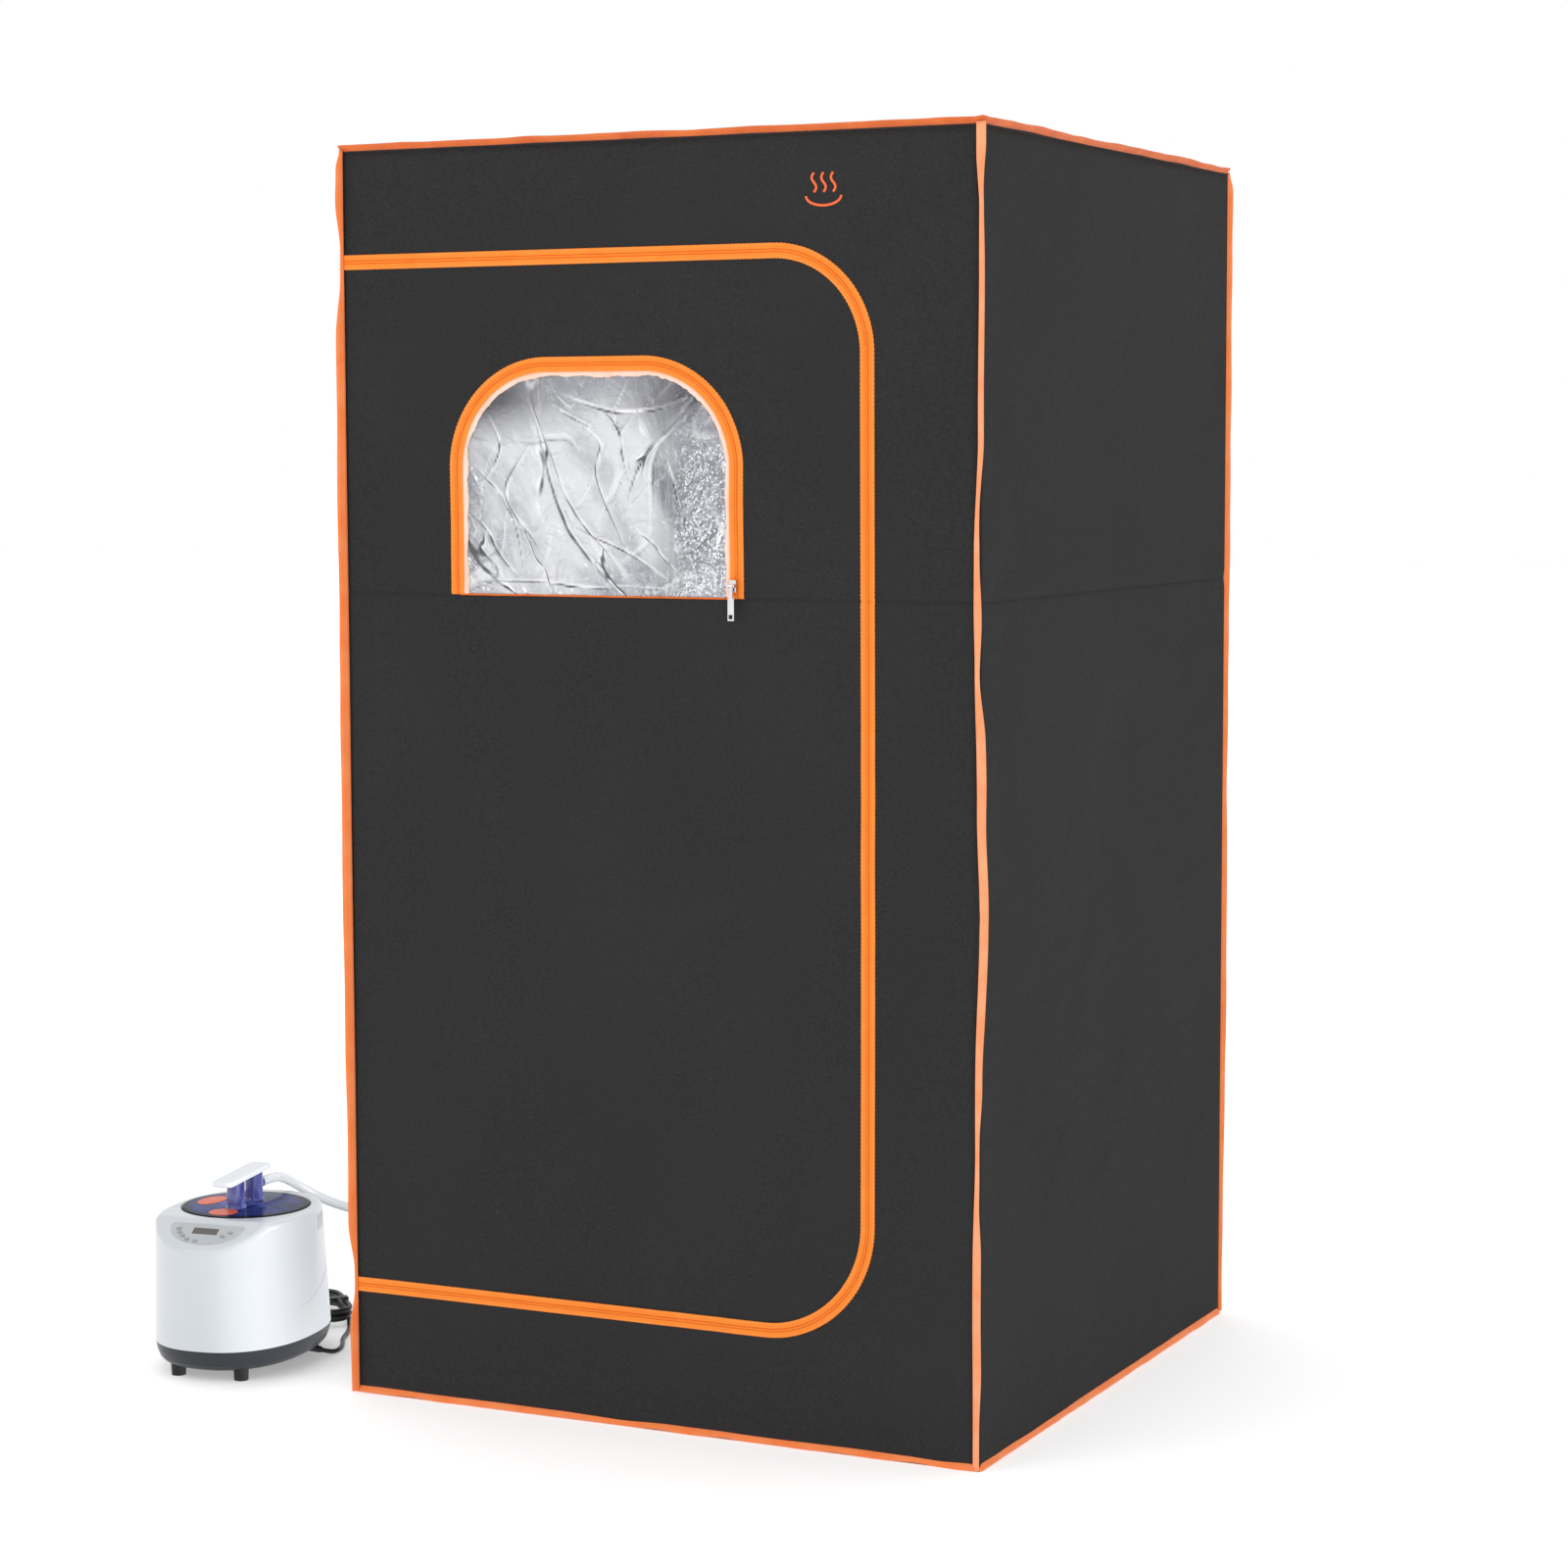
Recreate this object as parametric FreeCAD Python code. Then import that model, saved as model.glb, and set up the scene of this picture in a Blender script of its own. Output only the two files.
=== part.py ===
import FreeCAD, Part
import math
import os

# Portable steam sauna: a fabric cabin on a tube frame, with a steam generator standing beside it.
# Millimetres, +Z up. The origin is the centre of the cabin's footprint, on the floor.
# The cabin door faces -Y and the steam generator stands on the -X side.

V = FreeCAD.Vector

# ---- cabin ----
WIDTH = 840.0
HEIGHT = 1530.0
CLOTH = 4.0                  # outer cloth, padding and foil, quilted together
HALF = WIDTH / 2
INNER = HALF - CLOTH
ROOF_LOW = HEIGHT - CLOTH

# ---- door, bounded by the centre line of its zip ----
DOOR_TOP = 1395.0
DOOR_RIGHT = 278.0
DOOR_LOW = 137.0
DOOR_TOP_RADIUS = 118.0
DOOR_LOW_RADIUS = 135.0
DOOR_GAP = 0.5               # between each edge of cloth and the zip's centre line
DOOR_HINGE_X = -INNER
DOOR_LEFT = -INNER + 0.5

# ---- window, bounded by the centre line of its zip on three sides ----
WINDOW_LEFT = -260.0
WINDOW_RIGHT = 110.0
WINDOW_TOP = 1267.0
WINDOW_LOW = 996.0
WINDOW_RADIUS = 120.0
FILM_THICK = 1.0

# ---- zips ----
TAPE_WIDTH = 11.0
TAPE_THICK = 1.5
TAPE_GAP = 0.25
SLIDER_CLEAR = 0.1
SLIDER_WIDTH = 9.6
SLIDER_LENGTH = 14.0
SLIDER_THICK = 3.8
SLIDER_ROUND = 1.5
POST_THICK = 1.6             # of the slider's two posts, which hold the pull's pin
POST_BACK = 1.5
POST_FRONT = 2.5
POST_PAST_PIN = 1.4
PIN_RADIUS = 0.9
PIN_CLEAR = 0.08
PIN_STAND_OFF = 3.1
PIN_UP = 0.5                 # above the slider's middle
PIN_IN_POST = 0.5
EYE_WALL = 1.2
EYE_CLEAR = 0.25
PULL_LENGTH = 40.0
PULL_THICK = 1.6
PULL_NECK_LONG = 16.0
PULL_LAP = 2.0               # of the tab over the neck
PULL_HALF = 4.2
PULL_NECK_HALF = 2.2
PULL_ROUND = 0.7
PULL_HOLE = 5.0
PULL_END = 2.0               # below the hole
TAPE_START = 1.0             # of the fixed tape, from the wall's inner face
MOVING_START = 2.5           # of the moving tape, from the door's edge
DOOR_SLIDER_X = -360.0
WINDOW_SLIDER_Z = 1011.0

# ---- edge bindings ----
FIN_THICK = 2.5
FIN_WIDTH = 9.0
FIN_FLOOR_GAP = 0.4

# ---- frame ----
TUBE_RADIUS = 8.0
SOCKET_RADIUS = 10.5
SOCKET_LENGTH = 40.0
SOCKET_STOP = 12.0
TUBE_WALL = 1.2
FIT = 0.05
FRAME_INSET = 402.0
RAIL_LOW_Z = CLOTH + SOCKET_RADIUS
RAIL_TOP_Z = ROOF_LOW - SOCKET_RADIUS
COUPLER_Z = HEIGHT / 2
COUPLER_LENGTH = 80.0
COUPLER_STOP = 2.0

# ---- steam hose: the route's points, from the lid's outlet to the herb box ----
HOSE_RADIUS = 6.5
HOSE_ROUTE = [
    (-645.27, -291.72, 221.5),
    (-649.15, -260.97, 221.5),
    (-653.0, -233.0, 217.0),
    (-649.5, -208.0, 204.0),
    (-638.0, -187.0, 188.0),
    (-620.0, -170.0, 174.5),
    (-593.0, -150.0, 162.5),
    (-556.0, -130.0, 152.0),
    (-514.0, -115.0, 143.0),
    (-466.0, -110.0, 140.0),
    (-380.0, -110.0, 140.0),
    (-325.0, -110.5, 114.0),
    (-284.0, -112.0, 72.0),
    (-244.0, -114.0, 33.0),
    (-196.0, -109.0, 14.0),
    (-143.0, -94.0, 11.2),
    (-97.0, -60.0, 15.0),
    (-65.4, -17.3, 22.0),
    (-50.0, 25.0, 22.0),
]
PORT_Y = -110.0
PORT_Z = 140.0
PORT_BORE = 7.0
PORT_RADIUS = 17.0
PORT_FLANGE_RADIUS = 26.0
PORT_FLANGE = 3.0
PORT_REACH = 20.0            # of the bore, past the wall on both sides

# ---- herb box that spreads the steam ----
HERB_RADIUS = 80.0
HERB_HEIGHT = 56.0
HERB_WALL = 2.5
HERB_FLOOR = 3.0
HERB_SPIGOT = 16.0
HERB_SPIGOT_IN = 3.0
HERB_SPIGOT_WALL = 2.0
HERB_INLET_DEG = 70.0
COVER_OVERHANG = 2.0
COVER_THICK = 3.0
COVER_PLUG = 5.0             # how far the cover reaches down into the cup
COVER_PLUG_WALL = 2.0
COVER_FIT = 0.1
KNOB_LOW_RADIUS = 9.0
KNOB_TOP_RADIUS = 12.0
KNOB_TALL = 12.0
STEAM_HOLE = 3.5
STEAM_RINGS = ((8, 28.0), (12, 44.0), (18, 60.0))   # number of holes, radius of their circle

# ---- steam generator, in its own axes: -Y is its front ----
STEAMER_X = -638.5
STEAMER_Y = -345.3
STEAMER_TURN = 7.2
POWER = 2.3                  # exponent of its super-ellipse outline
BODY_DEEP = 264.0
BODY_WIDE = 200.0
TOP_DEEP = 247.0
TOP_WIDE = 191.0
TOP_SHIFT = -7.5
WALL = 2.5
BASE_LOW = 14.0
BASE_TOP = 41.0
BODY_TOP = 200.0
EDGE_ROUND = 9.0
FACET_Y = -81.0              # where the flat top turns down into the control facet
FACET_DROP = 32.0
FACET_RUN = 51.0
FACET_DEG = math.degrees(math.atan2(FACET_DROP, FACET_RUN))
FACET_BITE = 0.3             # extra wall behind the facet
OUTLINE_POINTS = 40
BASE_LEVELS = ((14.0, 16.0), (17.0, 9.5), (22.0, 5.0), (31.0, 1.6), (41.0, 0.0))     # height, inset
TRAY_LEVELS = ((17.0, 16.0), (24.0, 8.0), (33.0, 4.2), (42.0, 2.5))
FOOT_RADIUS = 10.0
FOOT_TAPER = 1.0
FOOT_TALL = 24.0
FOOT_X = 44.0
FOOT_Y = 96.0
VENT_Y = (28.0, 36.0, 44.0, 52.0)
VENT_HALF = 1.3
VENT_LOW = 170.0
VENT_TOP = 190.0
VENT_ROUND = 1.2
VENT_DEPTH = 1.3
VENT_REACH = (80.0, 110.0)
GROOVE_RADIUS = 1.1
GROOVE = ((-34.0, 84.0), (-14.0, 86.5), (9.0, 92.0), (38.0, 104.0), (64.0, 118.0))   # y and z along each side
POT_Y = 10.0
POT_RADIUS = 78.0
POT_WALL = 1.5
POT_LOW = 50.0
POT_RIM = 192.0
POT_FLANGE_RADIUS = 87.0
WELL_RADIUS = 83.6
POST_RADIUS = 4.5
POST_PLACE = 48.0
POST_LOW = 17.0
SCREW_RADIUS = 1.5
SCREW_LONG = 16.0
SCREW_HEAD = 3.6
SCREW_HEAD_TALL = 1.6
HEATER_RADIUS = 55.0
HEATER_THICK = 4.0
COIL_RADIUS = 42.0
COIL_THICK = 4.0
HEATER_PIN_RADIUS = 2.5
HEATER_PIN_LOW = 30.0
HEATER_PIN_X = 7.0
THERMOSTAT_RADIUS = 9.0
THERMOSTAT_TALL = 8.0

# ---- circuit boards ----
BOARD_Y = -100.0             # the main board's face towards the pot
BOARD_HALF = 45.0
BOARD_LOW = 26.0
BOARD_HIGH = 95.0
TRANSFORMER = (-38.0, -14.0, 34.0, 54.0, 18.0)      # x from, x to, z from, z to, depth
RELAY = (-6.0, 12.0, 36.0, 50.0, 16.0)
TERMINALS = (0.0, 34.0, 66.0, 86.0, 8.0)
CAPACITORS = ((28.0, 46.0, 8.0, 20.0), (-26.0, 76.0, 6.0, 12.0))    # x, z, radius, depth
CONTROL_DEEP = 36.0
SWITCH_LONG = 5.0
SWITCH_WIDE = 3.4
DISPLAY_LIP = 2.0            # of the casing, under the display window's ends
DISPLAY_EDGE = 1.5           # of the casing, above and below the display window
DISPLAY_CLEAR = 0.2
DISPLAY_GAP = -0.1

# ---- control panel, on the facet: x across, then the distance down from the facet's top edge ----
PANEL_TOP = 10.5
PANEL_SIDE = 15.0
PANEL_HALF = 51.0
PANEL_DROP = 31.0
PANEL_THICK = 1.0
PANEL_CORNER = 4.5
DISPLAY_DOWN = 23.3
DISPLAY_WIDE = 35.0
DISPLAY_TALL = 11.0
KEY_LONG = 7.0
KEY_SHORT = 4.0
KEY_CLEAR = 0.08
KEY_PROUD = 0.9
KEY_LOW = -7.0
BOARD_TOP = -9.4
BOARD_THICK = 1.6
SWITCH_TALL = 1.5
SLOT_LOW = -12.0
SLOT_TOP = 6.0
KEYS = {
    "power_key": (-38.0, 21.5),
    "heat_up_key": (-34.5, 28.0),
    "heat_down_key": (-28.0, 33.8),
    "timer_key": (-19.5, 39.2),
    "mode_key": (-7.5, 41.5),
    "start_key": (34.5, 23.5),
    "stop_key": (26.5, 30.5),
}

# ---- lid ----
LID_RADIUS = 82.0
LID_LOW = 196.0
LID_TOP = 201.0
LID_CROWN = 203.5
SEAL_INNER = 74.5
SEAL_OUTER = 79.0
COLUMN_RADIUS = 11.5
COLUMN_BORE = 8.5
OUTLET_Y = 34.0
VALVE_Y = -17.0
OUTLET_Z = 221.5
OUTLET_END = 53.9
HANDLE_WIDE = 27.0
HANDLE_LONG = 105.0
HANDLE_THICK = 6.0
HANDLE_Z = 244.5
HANDLE_TILT = 2.7
HANDLE_ROUND = 7.0
HANDLE_SOFT = 1.8
HANDLE_Y = -0.5
LID_RIM = 1.0
LID_CHAMFER = 2.0
LID_DISH_RADIUS = 70.0
LID_DISH = 1.5
LID_SKIN = 3.5
COLUMN_FLARE = 3.0
COLUMN_FLARE_TALL = 5.0
STEAM_BORE = 6.0
VALVE_BORE = 4.0
NOZZLE_RADIUS = 6.3
NOZZLE_BORE = 4.2
VALVE_CLEAR = 0.08
VALVE_GAP = 0.5
VALVE_TALL = 9.0
VALVE_STEM_RADIUS = 2.5
VALVE_STEM = 8.0
VALVE_SKIRT_RADIUS = 5.5
VALVE_SKIRT = 3.4
VALVE_SKIRT_TALL = 4.0

# ---- mains lead, in the steam generator's axes ----
LEAD_RADIUS = 3.0
RELIEF_LONG = 26.0
RELIEF_WIDE = 6.5
RELIEF_NARROW = 4.2
LEAD_ROUTE = [
    (88.8, 40.6, 9.2),
    (98.0, 53.0, 3.2),
    (101.0, 72.0, 3.2),
    (93.5, 96.0, 3.2),
    (80.5, 122.0, 3.2),
    (74.0, 149.0, 3.2),
    (65.0, 177.0, 3.2),
    (49.0, 202.0, 3.6),
    (36.0, 228.0, 5.0),
]
TAIL_ROUTE = [
    (-28.0, 266.0, 6.0),
    (-56.0, 276.0, 3.6),
    (-82.0, 266.0, 3.2),
    (-97.0, 241.0, 4.4),
    (-94.0, 212.0, 8.0),
    (-85.0, 186.0, 8.0),
]
HANK_X = 4.0
HANK_Y = 238.0
HANK_DEG = 127.0
HANK_LONG = 120.0
HANK_WIDE = 52.0
HANK_LOW = 1.4
HANK_TALL = 24.0
TIE_THICK = 1.2
TIE_WIDE = 14.0
PLUG_LONG = 38.0
PLUG_WIDE = 26.0
PLUG_TALL = 16.0
PLUG_ROUND = 5.0
BLADE_LONG = 16.0
BLADE_WIDE = 6.3
BLADE_THICK = 1.5
BLADE_PITCH = 12.7

os.makedirs("parts", exist_ok=True)


def save(name, shape):
    """Write one node, after checking that its solids are sound."""
    solids = shape.Solids
    if not solids or not shape.isValid():
        raise ValueError(name + " is not a sound solid")
    shape.exportStep("parts/" + name + ".step")
    print("%-26s %2d solids %12.1f mm3" % (name, len(solids), shape.Volume))


def box(x0, x1, y0, y1, z0, z1):
    """Box between two corners."""
    return Part.makeBox(x1 - x0, y1 - y0, z1 - z0, V(x0, y0, z0))


def rod(start, end, radius):
    """Round bar from one point to another."""
    a = V(*start)
    b = V(*end)
    return Part.makeCylinder(radius, (b - a).Length, a, b - a)


def ring(x, y, z0, z1, outer, inner):
    """Upright ring."""
    tall = z1 - z0
    solid = Part.makeCylinder(outer, tall, V(x, y, z0))
    return solid.cut(Part.makeCylinder(inner, tall + 2, V(x, y, z0 - 1)))


def prism(points, direction):
    """Extruded polygon."""
    loop = Part.makePolygon([V(*p) for p in points] + [V(*points[0])])
    return Part.Face(loop).extrude(V(*direction))


def rounded_slab(x0, x1, y0, y1, z0, z1, radius):
    """Upright slab with rounded upright edges."""
    slab = box(x0, x1, y0, y1, z0, z1)
    upright = [e for e in slab.Edges if abs(e.tangentAt(e.FirstParameter).z) > 0.99]
    return slab.makeFillet(radius, upright)


def path_wire(points):
    """Straight runs joined by arcs as large as the runs allow; returns the wire and its radii."""
    pts = [V(*p) for p in points]
    edges = []
    radii = []
    here = pts[0]
    for i in range(1, len(pts) - 1):
        back = pts[i - 1] - pts[i]
        ahead = pts[i + 1] - pts[i]
        reach = 0.45 * min(back.Length, ahead.Length)
        turn = math.pi - back.getAngle(ahead)
        radii.append(reach / math.tan(turn / 2))
        back.normalize()
        ahead.normalize()
        first = pts[i] + back * reach
        last = pts[i] + ahead * reach
        middle = (back + ahead).normalize()
        depth = radii[-1] * (1 / math.cos(turn / 2) - 1)
        edges.append(Part.LineSegment(here, first).toShape())
        edges.append(Part.Arc(first, pts[i] + middle * depth, last).toShape())
        here = last
    edges.append(Part.LineSegment(here, pts[-1]).toShape())
    return Part.Wire(edges), radii


def tube(name, points, radius):
    """Round cord along a route, with its length, radii and volume printed."""
    wire, radii = path_wire(points)
    start = V(*points[0])
    section = Part.Wire([Part.makeCircle(radius, start, V(*points[1]) - start)])
    solid = wire.makePipeShell([section], True, False)
    ratio = solid.Volume / (math.pi * radius ** 2 * wire.Length)
    print("%s length %.1f, smallest radius %.1f diameters, volume ratio %.4f"
          % (name, wire.Length, min(radii) / radius / 2, ratio))
    print("   radii " + " ".join("%.0f" % r for r in radii))
    return solid


# ------------------------------------------------------------------ cabin cloth

def opening_prism(left, right, low, top, low_radius, top_radius, y0, y1, left_radius):
    """Upright opening shape; left_radius rounds the top left corner, or is 0 for a square one."""
    def at(x, z):
        return V(x, y0, z)

    def corner(cx, cz, radius, start):
        mid = math.radians(start + 45)
        end = math.radians(start + 90)
        begin = math.radians(start)
        return Part.Arc(at(cx + radius * math.cos(begin), cz + radius * math.sin(begin)),
                        at(cx + radius * math.cos(mid), cz + radius * math.sin(mid)),
                        at(cx + radius * math.cos(end), cz + radius * math.sin(end))).toShape()

    edges = [Part.makeLine(at(left, low), at(right - low_radius, low))]
    if low_radius:
        edges.append(corner(right - low_radius, low + low_radius, low_radius, 270))
    edges.append(Part.makeLine(at(right, low + low_radius), at(right, top - top_radius)))
    edges.append(corner(right - top_radius, top - top_radius, top_radius, 0))
    edges.append(Part.makeLine(at(right - top_radius, top), at(left + left_radius, top)))
    if left_radius:
        edges.append(corner(left + left_radius, top - left_radius, left_radius, 90))
    edges.append(Part.makeLine(at(left, top - left_radius), at(left, low)))
    return Part.Face(Part.Wire(edges)).extrude(V(0, y1 - y0, 0))


def doorway(grow, left, y0, y1):
    """The door's outline moved outward by grow."""
    return opening_prism(left, DOOR_RIGHT + grow, DOOR_LOW - grow, DOOR_TOP + grow,
                         DOOR_LOW_RADIUS + grow, DOOR_TOP_RADIUS + grow, y0, y1, 0)


def window_shape(grow, low, y0, y1):
    """The window's outline moved outward by grow, with its lower edge at low."""
    return opening_prism(WINDOW_LEFT - grow, WINDOW_RIGHT + grow, low, WINDOW_TOP + grow,
                         0, WINDOW_RADIUS + grow, y0, y1, WINDOW_RADIUS + grow)


def fin_profile(cx, cy, sx, sy):
    """Four corners of a diagonal fin's section at a cabin edge, pointing towards (sx, sy)."""
    root = FIN_THICK * math.sqrt(0.5)
    reach = FIN_WIDTH * math.sqrt(0.5)
    a = (cx - sx * root, cy)
    b = (cx, cy - sy * root)
    return [a, b, (b[0] + sx * reach, b[1] + sy * reach), (a[0] + sx * reach, a[1] + sy * reach)]


def upright_fins():
    """Four bindings on the upright edges."""
    fins = []
    for sx in (-1, 1):
        for sy in (-1, 1):
            profile = fin_profile(sx * HALF, sy * HALF, sx, sy)
            fins.append(prism([(x, y, CLOTH) for x, y in profile], (0, 0, ROOF_LOW - 2 * CLOTH)))
    return Part.makeCompound(fins)


def mitred(section, sx, sy):
    """One side's binding, cut at 45 degrees at both corners. section lists (outward, z)."""
    far = HALF + FIN_WIDTH
    if sy:
        points = [(-far, sy * o, z) for o, z in section]
        strip = prism(points, (2 * far, 0, 0))
    else:
        points = [(sx * o, -far, z) for o, z in section]
        strip = prism(points, (0, 2 * far, 0))
    corner_a = V(sx or 1, sy or 1, 0)
    corner_b = V(sx or -1, sy or -1, 0)
    big = 2 * far
    wedge = prism([(0, 0, -50), (corner_a.x * big, corner_a.y * big, -50),
                   (corner_b.x * big, corner_b.y * big, -50)], (0, 0, HEIGHT + 100))
    return strip.common(wedge)


def edge_fins(section):
    """Four mitred bindings round the cabin."""
    return Part.makeCompound([mitred(section, 0, -1), mitred(section, 1, 0),
                              mitred(section, 0, 1), mitred(section, -1, 0)])


def cabin_cloth():
    root = FIN_THICK * math.sqrt(0.5)
    reach = FIN_WIDTH * math.sqrt(0.5)
    roof_section = [(HALF - root, HEIGHT), (HALF, HEIGHT - root),
                    (HALF + reach, HEIGHT - root + reach), (HALF - root + reach, HEIGHT + reach)]
    floor_section = [(HALF, FIN_FLOOR_GAP), (HALF + FIN_WIDTH, FIN_FLOOR_GAP),
                     (HALF + FIN_WIDTH, FIN_FLOOR_GAP + FIN_THICK), (HALF, FIN_FLOOR_GAP + FIN_THICK)]
    uprights = upright_fins()
    roof_fins = edge_fins(roof_section)
    save("upright_edge_bindings", uprights)
    save("roof_edge_bindings", roof_fins)
    save("floor_edge_bindings", edge_fins(floor_section))

    fins = uprights.Solids + roof_fins.Solids
    save("roof_panel", box(-HALF, HALF, -HALF, HALF, ROOF_LOW, HEIGHT).cut(fins))
    save("floor_panel", box(-INNER, INNER, -INNER, INNER, 0, CLOTH))
    save("right_panel", box(INNER, HALF, -HALF, HALF, 0, ROOF_LOW).cut(fins))
    save("back_panel", box(-INNER, INNER, INNER, HALF, 0, ROOF_LOW))
    port = rod((-HALF - 1, PORT_Y, PORT_Z), (-INNER + 1, PORT_Y, PORT_Z), PORT_RADIUS)
    save("left_panel", box(-HALF, -INNER, -HALF, HALF, 0, ROOF_LOW).cut(fins + [port]))

    front = box(-INNER, INNER, -HALF, -INNER, 0, ROOF_LOW)
    save("front_panel", front.cut(doorway(DOOR_GAP, -HALF, -HALF - 1, -INNER + 1)))
    door = doorway(-DOOR_GAP, DOOR_LEFT, -HALF, -INNER)
    save("door_panel", door.cut(window_shape(DOOR_GAP, WINDOW_LOW, -HALF - 1, -INNER + 1)))
    film = window_shape(-DOOR_GAP, WINDOW_LOW + DOOR_GAP, -HALF, -HALF + FILM_THICK)
    save("window_film", film)


def zip_tapes():
    """Both halves of both zips, sewn to the outside of the cloth."""
    y0 = -HALF - TAPE_THICK
    y1 = -HALF
    left = -INNER + TAPE_START
    tape = doorway(TAPE_WIDTH, left, y0, y1).cut(doorway(TAPE_GAP, left - 1, y0 - 1, y1 + 1))
    save("door_zip_fixed_tape", tape)
    left = DOOR_LEFT + MOVING_START
    tape = doorway(-TAPE_GAP, left, y0, y1).cut(doorway(-TAPE_WIDTH, left - 1, y0 - 1, y1 + 1))
    save("door_zip_moving_tape", tape)
    low = WINDOW_LOW
    outer = window_shape(TAPE_WIDTH, low, y0, y1)
    save("window_zip_fixed_tape", outer.cut(window_shape(TAPE_GAP, low - 1, y0 - 1, y1 + 1)))
    low = WINDOW_LOW + DOOR_GAP
    outer = window_shape(-TAPE_GAP, low, y0, y1)
    save("window_zip_moving_tape", outer.cut(window_shape(-TAPE_WIDTH, low - 1, y0 - 1, y1 + 1)))


def zip_slider(x, z, y_face, out):
    """Slider plate with a bridge and pin, and its pull tab; out is -1 outside, 1 inside."""
    half = SLIDER_WIDTH / 2
    near = y_face + out * SLIDER_CLEAR
    far = near + out * SLIDER_THICK
    pin_y = far + out * PIN_STAND_OFF
    pin_z = z + PIN_UP
    lows = sorted((near, far))
    plate = rounded_slab(x - half, x + half, lows[0], lows[1], z - SLIDER_LENGTH / 2,
                         z + SLIDER_LENGTH / 2, SLIDER_ROUND)
    post_ends = sorted((far, pin_y + out * POST_PAST_PIN))
    posts = [box(left, left + POST_THICK, post_ends[0], post_ends[1], z - POST_BACK, z + POST_FRONT)
             for left in (x - half, x + half - POST_THICK)]
    pin_reach = half - PIN_IN_POST
    pin = rod((x - pin_reach, pin_y, pin_z), (x + pin_reach, pin_y, pin_z), PIN_RADIUS)
    body = plate.fuse(posts + [pin])

    span = half - POST_THICK - EYE_CLEAR
    eye = rod((x - span, pin_y, pin_z), (x + span, pin_y, pin_z), PIN_RADIUS + PIN_CLEAR + EYE_WALL)
    thick = PULL_THICK / 2
    neck = box(x - PULL_NECK_HALF, x + PULL_NECK_HALF, pin_y - thick, pin_y + thick,
               z - PULL_NECK_LONG, pin_z)
    tab = rounded_slab(x - PULL_HALF, x + PULL_HALF, pin_y - thick, pin_y + thick, z - PULL_LENGTH,
                       z + PULL_LAP - PULL_NECK_LONG, PULL_ROUND)
    hole_low = z - PULL_LENGTH + PULL_END
    hole = box(x - PULL_HOLE / 2, x + PULL_HOLE / 2, pin_y - PULL_THICK, pin_y + PULL_THICK,
               hole_low, hole_low + PULL_HOLE)
    bore = rod((x - half, pin_y, pin_z), (x + half, pin_y, pin_z), PIN_RADIUS + PIN_CLEAR)
    pull = eye.fuse([neck, tab]).cut([hole, bore])
    return body, pull, pin_y


# ------------------------------------------------------------------ frame

def corner_connector(sx, sy, z, sz):
    """Three sockets that meet at a ball."""
    c = V(sx * FRAME_INSET, sy * FRAME_INSET, z)
    body = Part.makeSphere(SOCKET_RADIUS, c)
    bores = []
    for d in (V(-sx, 0, 0), V(0, -sy, 0), V(0, 0, sz)):
        body = body.fuse(Part.makeCylinder(SOCKET_RADIUS, SOCKET_LENGTH, c, d))
        bores.append(Part.makeCylinder(TUBE_RADIUS + FIT, SOCKET_LENGTH, c + d * SOCKET_STOP, d))
    return body.cut(bores)


def hollow_bar(start, end):
    """Frame tube."""
    return rod(start, end, TUBE_RADIUS).cut(rod(start, end, TUBE_RADIUS - TUBE_WALL))


def frame():
    signs = [(-1, -1), (1, -1), (1, 1), (-1, 1)]
    reach = FRAME_INSET - SOCKET_STOP
    for name, z, sz in (("bottom", RAIL_LOW_Z, 1), ("top", RAIL_TOP_Z, -1)):
        bars = [hollow_bar((-reach, s * FRAME_INSET, z), (reach, s * FRAME_INSET, z)) for s in (-1, 1)]
        bars += [hollow_bar((s * FRAME_INSET, -reach, z), (s * FRAME_INSET, reach, z)) for s in (-1, 1)]
        save(name + "_rails", Part.makeCompound(bars))
        save(name + "_corner_connectors",
             Part.makeCompound([corner_connector(sx, sy, z, sz) for sx, sy in signs]))
    lower = []
    upper = []
    couplers = []
    for sx, sy in signs:
        x = sx * FRAME_INSET
        y = sy * FRAME_INSET
        lower.append(hollow_bar((x, y, RAIL_LOW_Z + SOCKET_STOP), (x, y, COUPLER_Z - COUPLER_STOP)))
        upper.append(hollow_bar((x, y, COUPLER_Z + COUPLER_STOP), (x, y, RAIL_TOP_Z - SOCKET_STOP)))
        sleeve = ring(x, y, COUPLER_Z - COUPLER_LENGTH / 2, COUPLER_Z + COUPLER_LENGTH / 2,
                      SOCKET_RADIUS, TUBE_RADIUS + FIT)
        web = ring(x, y, COUPLER_Z - COUPLER_STOP, COUPLER_Z + COUPLER_STOP,
                   SOCKET_RADIUS - FIT, TUBE_RADIUS - TUBE_WALL)
        couplers.append(sleeve.fuse(web))
    save("lower_uprights", Part.makeCompound(lower))
    save("upper_uprights", Part.makeCompound(upper))
    save("upright_couplers", Part.makeCompound(couplers))


# ------------------------------------------------------------------ steam path in the cabin

def steam_port():
    """Grommet through the left wall, with a flange on each side of the cloth."""
    def disc(x0, x1, radius):
        return rod((x0, PORT_Y, PORT_Z), (x1, PORT_Y, PORT_Z), radius)

    body = disc(-HALF - PORT_FLANGE, -HALF, PORT_FLANGE_RADIUS)
    body = body.fuse([disc(-HALF, -INNER, PORT_RADIUS),
                      disc(-INNER, -INNER + PORT_FLANGE, PORT_FLANGE_RADIUS)])
    return body.cut(disc(-HALF - PORT_REACH, -INNER + PORT_REACH, PORT_BORE)).removeSplitter()


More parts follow.
